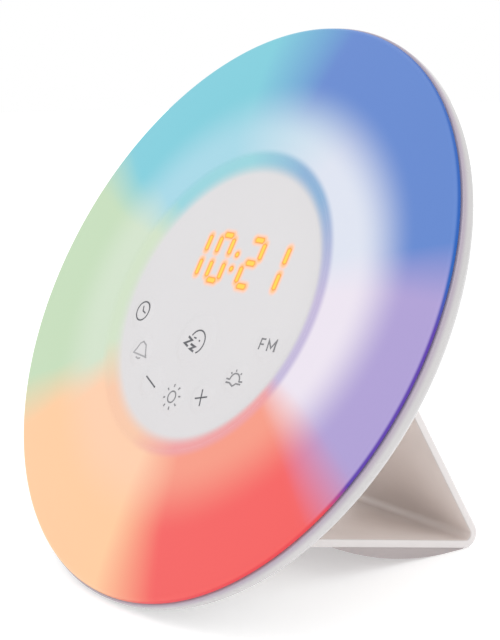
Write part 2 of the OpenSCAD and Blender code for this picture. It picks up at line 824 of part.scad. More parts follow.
// ---- Speaker ------------------------------------------------------------------------------------
gasket_t = 0.9;
speaker_front_z = floor_z + gasket_t;
speaker_flange_t = 0.8;
magnet_r = 8.6;
magnet_t = 3.4;
gap_r = 4.2;
gap_w = 1.2;
coil_r = gap_r + gap_w / 2;
speaker_back_z = speaker_front_z + speaker_t;
plate_z = speaker_back_z - magnet_t;
cone_rim_r = speaker_r - 5.1;
surround_r = speaker_r - 2.4;
cone_z0 = speaker_front_z + speaker_flange_t + 0.6;
cone_t = 0.4;

module speaker_gasket() color("dimgray") in_disc() {
    at_speaker() ring(speaker_r, surround_r, floor_z, speaker_front_z);
}

module speaker_frame() color(steel) in_disc() {
    at_speaker() {
        rotate_extrude(convexity = 4) polygon([
            [speaker_r, speaker_front_z], [speaker_r, speaker_front_z + speaker_flange_t],
            [speaker_r - 1, speaker_front_z + speaker_flange_t], [magnet_r + 2.8, plate_z],
            [gap_r + gap_w, plate_z], [gap_r + gap_w, plate_z - 0.8],
            [magnet_r + 1.9, plate_z - 0.8], [surround_r, speaker_front_z + speaker_flange_t + 0.6],
            [surround_r, speaker_front_z]
        ]);
    }
}

module speaker_magnet() color("dimgray") in_disc() {
    at_speaker() {
        ring(magnet_r, gap_r + gap_w, plate_z, speaker_back_z - 0.8);
        translate([0, 0, speaker_back_z - 0.8]) cylinder(r = magnet_r, h = 0.8);
        translate([0, 0, plate_z - 0.8]) cylinder(r = gap_r, h = speaker_back_z - plate_z + 0.8 - 0.4);
    }
}

module speaker_surround() color("black") in_disc() {
    roll = (surround_r - cone_rim_r - 0.05) / 2;
    mid = cone_rim_r + 0.05 + roll;
    skin = 0.5;
    at_speaker() rotate_extrude(convexity = 4) polygon(concat(
        arc([mid, cone_z0 - 0.2], roll, 180, 360, 12),
        arc([mid, cone_z0 - 0.2], roll - skin, 360, 180, 12)
    ));
}

module speaker_cone() color("darkslategray") in_disc() {
    coil_wall = 0.5;
    coil_end_z = plate_z + 1.2;
    root_z = plate_z - 0.8 - cone_travel - 0.4;
    dust_r = coil_r + 1.6;
    at_speaker() rotate_extrude(convexity = 6) polygon([
        [0, root_z - 1.6], [dust_r * 0.6, root_z - 1.4], [dust_r, root_z - cone_t - 0.5],
        [cone_rim_r, cone_z0 - 0.7], [cone_rim_r, cone_z0], [coil_r + coil_wall / 2 + 0.8, root_z],
        [coil_r + coil_wall / 2, root_z], [coil_r + coil_wall / 2, coil_end_z],
        [coil_r - coil_wall / 2, coil_end_z], [coil_r - coil_wall / 2, root_z],
        [dust_r * 0.6, root_z - 1], [0, root_z - 1.2]
    ]);
}

module speaker_screws() color(steel) in_disc() {
    at_speaker_screws() translate([0, 0, speaker_front_z + speaker_flange_t])
        screw(speaker_screw_r, 2.5, 2.4, 0.9);
}

wire_t = 1.1;
wire_z = main_top_z + 1.4;
pair_gap = 1.2;
module speaker_wires() color("red") in_disc() {
    x_end = -magnet_r - 1.4;
    for (u = [-1, 1]) {
        x = side_plug[0] + u * pair_gap;
        y = speaker_up - 3 - u * pair_gap;
        turn_y = board_at[1] + main_h / 2 + 5 - u * pair_gap;
        wire([[x, side_plug[1] + plug_h / 2], [x, turn_y], [x_end, y]]);
        wire_drop(x_end, y, plate_z);
    }
}

// ---- Backup battery -----------------------------------------------------------------------------
module battery_door() color(white_gloss) in_disc() {
    ridge_count = 4;
    ridge_w = 0.8;
    ridge_l = 12;
    ridge_step = 2;
    intersection() {
        difference() {
            door_space(0, door_x_out);
            translate([-door_x_in - door_gap, -door_w, flat_z - 2]) cube([2, 2 * door_w, door_t + 4]);
        }
        rotate_extrude(convexity = 6) polygon(shell_outline(groove_top, 0));
    }
    for (i = [0:ridge_count - 1]) translate([-round_r + 9 + i * ridge_step, 0, 0])
        block(ridge_w, ridge_l, flat_z - 0.3, flat_z + 0.1);
}

cell_low_z = door_low_z + 0.05;
module coin_cell() color(steel) in_disc() {
    can_t = cell_t * 0.8;
    cap_r = cell_r - 1.4;
    translate([-cell_x, 0, cell_low_z]) cylinder(r = cell_r, h = can_t);
    translate([-cell_x, 0, cell_low_z + can_t - eps]) cylinder(r = cap_r, h = cell_t - can_t + eps);
}

module battery_contacts() color("gold") in_disc() {
    strip_t = 0.3;
    translate([-cell_x, 0, 0]) {
        block(12, 5, well_floor_z - strip_t, well_floor_z);
        translate([0, 0, cell_low_z + cell_t])
            cylinder(r = 1.6, h = well_floor_z - strip_t - cell_low_z - cell_t, $fn = 32);
    }
}

module battery_wires() color("black") in_disc() {
    x = -cell_x + 6;
    x_end = side_plug[0] - plug_w / 2;
    for (u = [-1, 1]) {
        y = side_plug[1] + u * pair_gap;
        wire([[x, y + 3], [x_end - 3, y], [x_end, y]]);
        wire_drop(x, y + 3, well_floor_z + well_wall);
    }
}

// ---- Power socket and aerial grommet ------------------------------------------------------------
module power_socket() color("black") in_disc() {
    body_top_z = flat_z + jack_bore_t + 3;
    pin_sunk = 0.6;
    translate([jack_x, 0, 0]) {
        difference() {
            union() {
                translate([0, 0, flat_z]) cylinder(r = jack_r, h = body_top_z - flat_z, $fn = 48);
                translate([0, 0, floor_z]) cylinder(r = socket_flange_r, h = socket_flange_t, $fn = 48);
            }
            translate([0, 0, flat_z - 1]) cylinder(r = jack_bore_r, h = jack_bore_t + 1, $fn = 48);
        }
        translate([0, 0, flat_z + pin_sunk]) cylinder(r = jack_pin_r, h = jack_bore_t, $fn = 32);
    }
}

module power_wires() color("black") in_disc() {
    x = power_plug[0] + plug_w / 2;
    for (u = [-1, 1]) {
        y = power_plug[1] + u * pair_gap;
        wire([[jack_x - jack_r + 0.1, u * pair_gap], [jack_x - jack_r - 2 - u, u * pair_gap],
              [x + 2.4 - u, y], [x, y]]);
    }
}

module aerial_grommet() color("dimgray") in_disc() {
    flange_out = 0.8;
    flange_w = 0.9;
    hole_r = 0.9;
    translate(grommet_at) difference() {
        union() {
            translate([0, 0, flat_z]) cylinder(r = grommet_r, h = housing_wall, $fn = 32);
            for (z = [flat_z - flange_out, floor_z])
                translate([0, 0, z]) cylinder(r = grommet_r + flange_w, h = flange_out, $fn = 32);
        }
        translate([0, 0, flat_z - 2]) cylinder(r = hole_r, h = housing_wall + 4, $fn = 32);
    }
}

// ---- Stand --------------------------------------------------------------------------------------
flange_z = flat_z - flange_t;
bend_in_r = bend_r - stand_t;
module stand_outline() {
    polygon(concat(
        [base_low],
        arc(bend_c, bend_r, -90 - base_rise, leg_lean, 14),
        [leg_top]
    ));
}

module stand_window() {
    polygon(concat(
        [meet(bend_c + bend_in_r * base_out, base_dir, flange_z)],
        arc(bend_c, bend_in_r, -90 - base_rise, leg_lean, 12),
        [meet(bend_c + bend_in_r * leg_out, leg_dir, flange_z)]
    ));
}

boss_l = 4;
module stand() color(white_gloss) {
    difference() {
        union() {
            across(stand_w) difference() {
                stand_outline();
                stand_window();
            }
            in_disc() at_stand_screws() translate([0, 0, flange_z - boss_l])
                cylinder(r = stand_boss_r, h = boss_l + 1, $fn = 32);
        }
        in_disc() at_stand_screws() translate([0, 0, flange_z - boss_l + 1])
            cylinder(r = stand_screw_r + thread_play, h = 12, $fn = 32);
    }
}

module stand_screws() color(steel) in_disc() {
    at_stand_screws() translate([0, 0, floor_z])
        screw(stand_screw_r, housing_wall + flange_t + 2.2, 2.8, 1.5);
}

// Foot: the base plate's underside above, a long arch below, cut flat where it rests
foot_y = stand_reach - foot_back;
foot_c = [foot_y, sqrt(foot_arc_r * foot_arc_r - foot_flat * foot_flat)];
plate_low = bend_c + bend_r * base_out;
arch_q = plate_low - foot_c;
arch_b = arch_q * base_dir;
arch_reach = -arch_b + sqrt(arch_b * arch_b - (arch_q * arch_q - foot_arc_r * foot_arc_r));
arch_start = plate_low + arch_reach * base_dir;
arch_from = atan2(arch_start[1] - foot_c[1], arch_start[0] - foot_c[0]);
arch_to = -90 - asin(foot_flat / foot_arc_r);

module foot_strip() color("dimgray") {
    across(stand_w - 2 * foot_inset) polygon(concat(
        arc(foot_c, foot_arc_r, arch_from, arch_to, 14),
        [[foot_y + foot_flat, 0], [plate_low[0], bend_lift], plate_low]
    ));
}

front_cover();
key_legends();
display_segments();
display_module();
touch_board();
touch_pads();
light_shield();
light_board();
light_emitters();
reflector_tray();
rear_housing();
main_board();
board_chips();
radio_can();
capacitors();
board_connectors();
ribbon_cable();
light_cable();
speaker_gasket();
speaker_frame();
speaker_magnet();
speaker_surround();
speaker_cone();
speaker_wires();
battery_door();
coin_cell();
battery_contacts();
battery_wires();
power_socket();
power_wires();
aerial_grommet();
stand();
foot_strip();
stand_screws();
tray_screws();
board_screws();
touch_board_screws();
speaker_screws();
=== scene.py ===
"""Looks of a round sunrise alarm clock: the glowing cover, its printed keys and lit digits, the rear
shell with its door and socket, the loop stand, the finish of every inner part, the stage, the lights
and the camera."""

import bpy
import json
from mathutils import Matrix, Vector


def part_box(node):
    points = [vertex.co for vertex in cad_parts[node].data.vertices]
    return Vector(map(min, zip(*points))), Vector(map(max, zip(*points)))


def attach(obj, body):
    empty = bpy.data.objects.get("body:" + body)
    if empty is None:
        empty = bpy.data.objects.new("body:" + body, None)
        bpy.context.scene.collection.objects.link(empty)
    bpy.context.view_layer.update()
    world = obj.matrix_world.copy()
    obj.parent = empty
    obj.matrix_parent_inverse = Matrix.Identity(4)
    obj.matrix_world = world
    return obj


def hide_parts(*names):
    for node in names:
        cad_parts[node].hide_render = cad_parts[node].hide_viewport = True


bl_info = {
    "name": "Sunrise Alarm Clock",
    "version": (1, 0, 0),
    "blender": (4, 5, 0),
    "location": "View3D > Sidebar > Clock",
    "description": "Builds the glowing clock on its loop stand, with its finishes, lights and camera",
    "category": "Add Mesh",
}

import json
import math

import bpy
from mathutils import Vector

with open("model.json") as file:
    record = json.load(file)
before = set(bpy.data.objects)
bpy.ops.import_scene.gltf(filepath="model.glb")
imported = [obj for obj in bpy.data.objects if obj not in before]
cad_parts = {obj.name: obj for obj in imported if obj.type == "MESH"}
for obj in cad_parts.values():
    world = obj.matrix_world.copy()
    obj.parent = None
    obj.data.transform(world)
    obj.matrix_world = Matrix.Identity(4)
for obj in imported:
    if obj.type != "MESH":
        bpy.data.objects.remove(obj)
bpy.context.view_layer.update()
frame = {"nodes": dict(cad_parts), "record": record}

MM = 0.001
BODY = "clock"
DOOR = "battery_door"

# ---- Sizes and colours a user would change -------------------------------------------------------


def length(label, millimetres, note):
    """A length property, kept in metres."""
    return bpy.props.FloatProperty(name=label, description=note, default=millimetres * MM, unit="LENGTH")


def tint(label, red, green, blue, note):
    """A colour property, as it shows on screen, from values up to 255."""
    return bpy.props.FloatVectorProperty(
        name=label, description=note, default=(red / 255, green / 255, blue / 255), size=3, min=0, max=1,
        subtype="COLOR_GAMMA",
    )


class ClockSizes(bpy.types.PropertyGroup):
    """Sizes of the disc and its stand."""

    face_r: length("Face radius", 85, "Radius of the cover's edge")
    rim_r: length("Rim radius", 85.7, "Radius of the rear shell's rim")
    depth: length("Depth", 24, "Depth of the disc behind the cover's edge")
    crest_r: length("Crest radius", 45.2, "Radius of the ring's crest beside the panel")
    crest_h: length("Crest height", 1.4, "Height of the crest over the cover's edge")
    panel_r: length("Panel radius", 38.6, "Radius of the flat control panel")
    panel_drop: length("Panel drop", 0.5, "Depth of the panel below the cover's edge")
    spot_h: length("Spot height", 0.45, "Height of the touch spots")
    stand_w: length("Stand width", 57, "Width of the loop stand")


class ClockTints(bpy.types.PropertyGroup):
    """Colours of the light, the print and the plastics."""

    panel: tint("Panel", 226, 224, 225, "Unlit control panel")
    violet: tint("Violet", 170, 155, 208, "Right of the ring")
    blue: tint("Blue", 92, 130, 202, "Upper right of the ring")
    cyan: tint("Cyan", 119, 199, 214, "Top of the ring")
    green: tint("Green", 191, 215, 181, "Left of the ring")
    peach: tint("Peach", 249, 199, 154, "Lower left of the ring")
    red: tint("Red", 239, 92, 90, "Bottom of the ring")
    digit_core: tint("Digit core", 255, 200, 66, "Middle of a lit segment")
    digit_edge: tint("Digit edge", 236, 142, 64, "Edge of a lit segment")
    print_grey: tint("Print", 92, 93, 97, "Printed symbols")
    shell: tint("Shell", 182, 180, 180, "Glossy rear shell")
    stand: tint("Stand", 212, 207, 206, "Glossy loop stand")
    # Painted warm light in the shade inside the loop, given to the loop's inner faces
    loop: tint("Loop", 226, 216, 211, "Inner faces of the loop stand")
    # A darker grey than the stand, for the foot strip under the base
    foot: tint("Foot", 166, 157, 157, "Foot strip")


def sizes():
    return bpy.context.scene.clock_sizes


def tints():
    return bpy.context.scene.clock_tints


def linear(colour, alpha=1.0):
    """A screen colour, up to 1, as the linear colour that shaders take."""
    return tuple(c / 12.92 if c <= 0.04045 else ((c + 0.055) / 1.055) ** 2.4 for c in colour) + (alpha,)


def screen(red, green, blue):
    """A linear colour from screen values up to 255."""
    return linear((red / 255, green / 255, blue / 255))


# ---- The disc's own frame ------------------------------------------------------------------------
# Lean of the disc back from upright
TILT = math.radians(28.2)
RIGHT = Vector((1, 0, 0))
UP = Vector((0, math.sin(TILT), math.cos(TILT)))
OUT = Vector((0, -math.cos(TILT), math.sin(TILT)))
TURN = (math.radians(90) - TILT, 0, 0)
# How far the light board's middle lies behind the cover's edge, in millimetres
LIGHT_BOARD_MIDDLE = 9.4
ring_low, ring_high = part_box("light_board")
CENTRE = (ring_low + ring_high) / 2 + OUT * LIGHT_BOARD_MIDDLE * MM


def at(x, y, z):
    """A point of the disc's frame in millimetres, as a point of the model in metres."""
    return CENTRE + (RIGHT * x + UP * y + OUT * z) * MM


def rim_radius():
    """Radius of the shell's rim, in millimetres."""
    return sizes().rim_r / MM


def flat_back():
    """Height of the shell's flat back in the disc's frame, in millimetres."""
    return -sizes().depth / MM


def panel_height():
    """Height of the control panel in the disc's frame, in millimetres."""
    return -sizes().panel_drop / MM


def stand_half():
    """Half the stand's width, in millimetres."""
    return sizes().stand_w / MM / 2


# ---- Making meshes by hand -----------------------------------------------------------------------
def drop_selection():
    bpy.ops.object.select_all(action="DESELECT")


def select_only(*objects):
    drop_selection()
    for o in objects:
        o.select_set(True)
    bpy.context.view_layer.objects.active = objects[0]


def name_it(o, name):
    o.name = name
    o.data.name = name
    return o


def enter():
    bpy.ops.object.mode_set(mode="EDIT")


def pick(action="SELECT"):
    bpy.ops.mesh.select_all(action=action)


def edit_all():
    enter()
    pick()


def leave():
    bpy.ops.object.mode_set(mode="OBJECT")


def draw(name, points):
    """A new object with edges through the points. It stays in edit mode."""
    drop_selection()
    bpy.ops.mesh.primitive_plane_add(size=MM)
    o = name_it(bpy.context.object, name)
    edit_all()
    bpy.ops.mesh.merge(type="CENTER")
    bpy.ops.transform.translate(value=points[0])
    for a, b in zip(points, points[1:]):
        bpy.ops.mesh.extrude_region_move(TRANSFORM_OT_translate={"value": b - a})
    return o


def pull(value):
    """Extrudes what is selected, in edit mode."""
    bpy.ops.mesh.extrude_region_move(TRANSFORM_OT_translate={"value": value})


def tidy(threshold=1e-6):
    """Merges doubles and turns every face outwards, in edit mode."""
    pick()
    bpy.ops.mesh.remove_doubles(threshold=threshold)
    bpy.ops.mesh.normals_make_consistent(inside=False)


def bridge(name, lines):
    """One object of two lines of points with faces between them. It stays in edit mode, all selected."""
    edges = []
    for side, points in zip("ab", lines):
        edges.append(draw(f"{name}_{side}", points))
        leave()
    o = join(name, edges)
    edit_all()
    bpy.ops.mesh.remove_doubles(threshold=1e-7)
    bpy.ops.mesh.bridge_edge_loops()
    pick()
    return o


def turned(name, outline, steps=96, x=0.0, y=0.0):
    """A body turned about a line through x, y of the disc, from radii and heights in millimetres."""
    points = [at(x + r, y, z) for r, z in outline]
    if outline[0][0] > 0 or outline[-1][0] > 0:
        points.append(points[0])
    o = draw(name, points)
    pick()
    bpy.ops.mesh.spin(steps=steps, angle=math.tau, center=at(x, y, 0), axis=OUT)
    tidy()
    leave()
    return o


def slab(name, low, high):
    """A box in the disc's frame, between two corners in millimetres."""
    middle = [(a + b) / 2 for a, b in zip(low, high)]
    drop_selection()
    bpy.ops.mesh.primitive_cube_add(size=1, location=at(*middle), rotation=TURN)
    o = name_it(bpy.context.object, name)
    o.scale = [(b - a) * MM for a, b in zip(low, high)]
    bpy.ops.object.transform_apply(location=True, rotation=True, scale=True)
    return o


def rod(name, radius, low, high, x=0.0, y=0.0, sides=32):
    """A cylinder square to the disc, between two heights in millimetres."""
    drop_selection()
    bpy.ops.mesh.primitive_cylinder_add(
        vertices=sides, radius=radius * MM, depth=(high - low) * MM,
        location=at(x, y, (low + high) / 2), rotation=TURN,
    )
    o = name_it(bpy.context.object, name)
    bpy.ops.object.transform_apply(location=True, rotation=True, scale=True)
    return o


def join(name, objects):
    select_only(*objects)
    bpy.ops.object.join()
    return name_it(bpy.context.object, name)


def combine(o, tool, operation):
    """Cuts, adds or crosses an object with a tool, which is used up."""
    select_only(o)
    bpy.ops.object.modifier_add(type="BOOLEAN")
    change = o.modifiers[-1]
    change.operation = operation
    change.object = tool
    change.solver = "EXACT"
    bpy.ops.object.modifier_apply(modifier=change.name)
    bpy.data.objects.remove(tool)
    return o


def soften(o, width, segments=2, angle=40):
    """Rounds the sharp edges by a width in millimetres."""
    select_only(o)
    bpy.ops.object.modifier_add(type="BEVEL")
    change = o.modifiers[-1]
    change.width = width * MM
    change.segments = segments
    change.limit_method = "ANGLE"
    change.angle_limit = math.radians(angle)
    change.harden_normals = False
    bpy.ops.object.modifier_apply(modifier=change.name)
    return o


def keep(o, material, nodes=(), body=BODY, angle=35):
    """Finishes a piece: smooth shading, its material, the body it rides on and the nodes it stands for."""
    select_only(o)
    bpy.ops.object.shade_smooth_by_angle(angle=math.radians(angle))
    o.data.materials.clear()
    o.data.materials.append(material)
    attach(o, body)
    if nodes:
        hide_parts(*nodes)
    return o


def arc(centre, radius, start, end, steps):
    """Points of an arc in degrees."""
    angles = [math.radians(start + (end - start) * i / steps) for i in range(steps + 1)]
    return [(centre[0] + radius * math.cos(a), centre[1] + radius * math.sin(a)) for a in angles]


def smoothstep(s):
    return s * s * (3 - 2 * s)


# ---- Shader building -----------------------------------------------------------------------------
# Noise seldom leaves this span, so it is stretched from here
NOISE_SPAN = (0.3, 0.7)
# The colour sockets of the Mix node
MIX_A, MIX_B, MIX_RESULT = 6, 7, 2


class Finish:
    """A node material under construction."""

    def __init__(self, name, **sockets):
        self.material = bpy.data.materials.new(name)
        self.material.use_nodes = True
        self.tree = self.material.node_tree
        self.shader = self.tree.nodes["Principled BSDF"]
        self.place = self.tree.nodes.new("ShaderNodeTexCoord").outputs["Object"]
        for socket, value in sockets.items():
            self.shader.inputs[socket.replace("_", " ")].default_value = value

    def add(self, kind, values, output=0, **settings):
        node = self.tree.nodes.new(kind)
        for setting, value in settings.items():
            setattr(node, setting, value)
        for socket, value in values.items():
            if isinstance(value, bpy.types.NodeSocket):
                self.tree.links.new(value, node.inputs[socket])
            else:
                node.inputs[socket].default_value = value
        return node.outputs[output]

    def sum(self, operation, a, b=0.0):
        return self.add("ShaderNodeMath", {0: a, 1: b}, operation=operation)

    def vector(self, operation, a, b=(0.0, 0.0, 0.0)):
        output = "Value" if operation in ("DOT_PRODUCT", "LENGTH") else "Vector"
        return self.add("ShaderNodeVectorMath", {0: a, 1: b}, output, operation=operation)

    def blend(self, share, a, b, **settings):
        values = {0: share, MIX_A: a, MIX_B: b}
        return self.add("ShaderNodeMix", values, MIX_RESULT, data_type="RGBA", **settings)

    def ease(self, value, low, high, low_to=0.0, high_to=1.0):
        values = {0: value, 1: low, 2: high, 3: low_to, 4: high_to}
        return self.add("ShaderNodeMapRange", values, interpolation_type="SMOOTHSTEP")

    def noise(self, scale, detail=3.0, stretch=None):
        place = self.place
        if stretch:
            place = self.add("ShaderNodeMapping", {"Vector": place, "Scale": stretch})
        return self.add("ShaderNodeTexNoise", {"Vector": place, "Scale": scale, "Detail": detail})

    def mark(self, name):
        """A value that the mesh carries."""
        return self.add("ShaderNodeAttribute", {}, "Fac", attribute_name=name)

    def along(self, direction):
        """Distance from the middle of the face along a direction, in millimetres."""
        arm = self.vector("SUBTRACT", self.place, tuple(CENTRE))
        return self.vector("DOT_PRODUCT", arm, tuple(direction / MM))

    def drift(self, noise, low, high):
        """A value that goes from low to high with a noise."""
        return self.ease(noise, *NOISE_SPAN, low, high)

    def mottle(self, noise, dark, light):
        """A colour that goes from dark to light with a noise."""
        return self.ramp(noise, list(zip(NOISE_SPAN, (dark, light))))

    def ramp(self, value, stops, interpolation="EASE"):
        node = self.tree.nodes.new("ShaderNodeValToRGB")
        node.color_ramp.interpolation = interpolation
        points = node.color_ramp.elements
        while len(points) < len(stops):
            points.new(0.5)
        for point, (place, colour) in zip(points, stops):
            point.position = place
            point.color = colour
        self.tree.links.new(value, node.inputs[0])
        return node.outputs[0]

    def set(self, socket, value):
        self.tree.links.new(value, self.shader.inputs[socket])

    def bump(self, height, strength, distance=0.0001):
        values = {"Height": height, "Strength": strength, "Distance": distance}
        self.set("Normal", self.add("ShaderNodeBump", values))


def shade(colour, factor):
    return tuple(min(1, c * factor) for c in colour[:3]) + (1.0,)


def moulding(name, coat, grain=2600, depth=0.02):
    """The start of a moulded plastic: its clear coat and a fine grain."""
    f = Finish(name, Coat_Weight=coat, Coat_Roughness=0.08, Specular_IOR_Level=0.5)
    f.bump(f.noise(grain, 2), depth)
    return f


def plastic(name, colour, roughness, coat=0.0, grain=2600, depth=0.02, spread=0.025):
    """Moulded plastic: faint cloudiness in its colour, uneven gloss and a fine grain."""
    f = moulding(name, coat, grain, depth)
    f.set("Base Color", f.mottle(f.noise(38, 4), shade(colour, 1 - spread), shade(colour, 1 + spread)))
    f.set("Roughness", f.drift(f.noise(90, 5), roughness * 0.85, roughness * 1.2))
    return f.material


def metal(name, colour, roughness, stretch=(1, 1, 14)):
    """Drawn or rolled metal with fine lines along one way."""
    f = Finish(name, Metallic=1.0)
    lines = f.noise(1500, 4, stretch)
    f.set("Base Color", f.mottle(lines, shade(colour, 0.82), shade(colour, 1.1)))
    f.set("Roughness", f.drift(lines, roughness * 0.8, roughness * 1.25))
    f.bump(lines, 0.06)
    return f.material


def rubber(name, colour, roughness=0.75, cell=1800):
    """Rubber or foam with a pebbled skin."""
    f = Finish(name, Specular_IOR_Level=0.35)
    cells = f.add("ShaderNodeTexVoronoi", {"Vector": f.place, "Scale": cell})
    f.set("Base Color", f.mottle(f.noise(220, 4), shade(colour, 0.85), shade(colour, 1.12)))
    f.set("Roughness", f.drift(f.noise(160, 3), roughness * 0.9, roughness * 1.1))
    f.bump(cells, 0.25, 0.0002)
    return f.material


def board(name, mask, line):
    """Circuit board: solder mask with raised tracks and pads."""
    f = Finish(name, Specular_IOR_Level=0.55)
    tracks = f.add(
        "ShaderNodeTexBrick",
        {"Vector": f.place, "Color1": (0, 0, 0, 1), "Color2": (0.25, 0.25, 0.25, 1), "Mortar": (1, 1, 1, 1),
         "Scale": 130.0, "Mortar Size": 0.012},
    )
    pads = f.add("ShaderNodeTexVoronoi", {"Vector": f.place, "Scale": 420.0})
    pad_mask = f.sum("LESS_THAN", pads, 0.16)
    colour = f.blend(tracks, mask, line)
    f.set("Base Color", f.blend(pad_mask, colour, screen(205, 200, 185)))
    f.set("Roughness", f.drift(f.noise(300, 3), 0.3, 0.5))
    f.bump(tracks, 0.2)
    return f.material


# ---- The glowing cover ---------------------------------------------------------------------------
# Where each hue of the ring ends and the next begins, in degrees round the disc from its right-hand side
OUTER_TURNS = [(9, 18), (81, 105), (150, 161), (207, 219), (270, 289), (326, 338)]
INNER_TURNS = [(9, 22), (58, 110), (146, 160), (212, 224), (270, 290), (327, 338)]
RIM_TURNS = [(4, 12), (84, 98), (150, 160), (206, 218), (270, 286), (330, 336)]
SLOPE_TURNS = [(8, 50), (66, 100), (142, 158), (206, 228), (258, 286), (330, 337)]
# The hues beside the crest, on the panel's shoulder and at the cover's edge, in the same order
INNER_HUES = (
    (231, 223, 235), (217, 222, 235), (160, 210, 225), (205, 221, 198), (249, 202, 168), (241, 150, 128),
)
SLOPE_HUES = (
    (190, 179, 213), (134, 172, 209), (149, 208, 217), (205, 221, 195), (243, 196, 165), (233, 155, 156),
)
RIM_HUES = ((86, 50, 166), (20, 92, 182), (60, 172, 184), (160, 192, 150), (226, 164, 110), (228, 62, 70))
# The way across the disc in which the white glow reaches further out, a painted reflection on top of the
# cover's own light, how narrow and how long that reach is, and the radii that the glow fades between
SHEEN_WAY, SHEEN_POWER, SHEEN_REACH, GLOW_FADE = (0.99, 0.14), 4.0, 6.5, (49, 68)
# Depths below the cover's edge between which the deep edge hues come in
RIM_FADE = (0.35, 1.0)
# The cover bends the light of the shoulder a little to the right
SHOULDER_SHIFT, SHOULDER_FADE, PANEL_FADE = (1.2, -0.2, 0), (43.9, 46.4), (38.7, 43.0)
HALO_FADE = (0.6, 2.8)


def hue_ramp(f, turn, hues, turns):
    """Violet, blue, cyan, green, peach and red round the disc, starting and ending on violet."""
    stops = [(0.0, hues[0])]
    for i, (end, start) in enumerate(turns):
        stops += [(end / 360, hues[i]), (start / 360, hues[(i + 1) % len(hues)])]
    return f.ramp(turn, stops + [(1.0, hues[0])], "LINEAR")


SEGMENTS = {"0": "abcdef", "1": "bc", "2": "abged"}
# A digit's width between its upright strokes, and its top stroke's height over the middle one
DIGIT_W, DIGIT_RISE = 5.9, 6.9
DIGIT_PITCH, COLON_ROOM, COLON_GAP, COLON_SHIFT = 10.9, 3.3, 4.3, (-0.2, -0.4)
# A segment's width, half the length of an upright and of a level one, and how far an upright is set apart
SEGMENT_W, UPRIGHT, LEVEL, UPRIGHT_SHIFT = 1.8, 2.05, 1.6, 0.3
# The lit digits are seen through the panel, a little to the right of where they are
DIGITS_X, DIGITS_Y = 2.0, 12.55
SHOWN = "1021"


def lit_bars():
    """Middle, half length and direction of every lit segment and dot, in the disc's millimetres."""
    side, rise = DIGIT_W / 2, DIGIT_RISE
    high = rise / 2 + UPRIGHT_SHIFT
    spots = {
        "a": (0, rise, LEVEL, 0), "g": (0, 0, LEVEL, 0), "d": (0, -rise, LEVEL, 0),
        "f": (-side, high, 0, UPRIGHT), "b": (side, high, 0, UPRIGHT),
        "e": (-side, -high, 0, UPRIGHT), "c": (side, -high, 0, UPRIGHT),
    }
    bars = []
    for i, figure in enumerate(SHOWN):
        place = i - (len(SHOWN) - 1) / 2
        middle = DIGITS_X + place * DIGIT_PITCH + math.copysign(COLON_ROOM / 2, place)
        for letter in SEGMENTS[figure]:
            x, y, across, along = spots[letter]
            bars.append((middle + x, DIGITS_Y + y, across, along))
    for way in (-1, 1):
        bars.append((DIGITS_X + COLON_SHIFT[0], DIGITS_Y + COLON_SHIFT[1] + way * COLON_GAP / 2, 0, 0))
    return bars


def ring_light(f, x, y, radius):
    """Colours of the ring and of the shoulder: the ring is white where the glow reaches, further out on the
    right with a painted reflection, and deep at its edge.
    """
    turn = f.sum("FRACT", f.sum("ADD", f.sum("DIVIDE", f.sum("ARCTAN2", y, x), math.tau), 1.0))
    # A slow drift keeps the hues' borders from being ruled lines
    drift = f.sum("MULTIPLY", f.sum("SUBTRACT", f.noise(22, 1), 0.5), 0.02)
    turn = f.sum("FRACT", f.sum("ADD", turn, drift))
    t = tints()
    own = [linear(colour) for colour in (t.violet, t.blue, t.cyan, t.green, t.peach, t.red)]
    outer = hue_ramp(f, turn, own, OUTER_TURNS)
    inner, slope, rim = (
        hue_ramp(f, turn, [screen(*hue) for hue in hues], turns)
        for hues, turns in ((INNER_HUES, INNER_TURNS), (SLOPE_HUES, SLOPE_TURNS), (RIM_HUES, RIM_TURNS))
    )
    # Painted reflection: towards the right the pale inner colours reach further out, on top of the cover's
    # own light
    lean = f.sum("ADD", f.sum("MULTIPLY", x, SHEEN_WAY[0]), f.sum("MULTIPLY", y, SHEEN_WAY[1]))
    reach = f.sum("POWER", f.sum("MAXIMUM", f.sum("DIVIDE", lean, radius), 0.0), SHEEN_POWER)
    glow_and_sheen_r = f.sum("SUBTRACT", radius, f.sum("MULTIPLY", reach, SHEEN_REACH))
    ring = f.blend(f.ease(glow_and_sheen_r, *GLOW_FADE), inner, outer)
    return f.blend(f.ease(f.along(-OUT), *RIM_FADE), ring, rim), slope


def digit_halo(f, flat):
    """How much of the digits' light spreads in the panel round them."""
    near = None
    for bar_x, bar_y, across, along in lit_bars():
        gap = f.vector("ABSOLUTE", f.vector("SUBTRACT", flat, (bar_x, bar_y, 0)))
        gap = f.vector("LENGTH", f.vector("MAXIMUM", f.vector("SUBTRACT", gap, (across, along, 0))))
        near = gap if near is None else f.sum("MINIMUM", near, gap)
    return f.sum("POWER", f.ease(near, *HALO_FADE, 1.0, 0.0), 2.0)


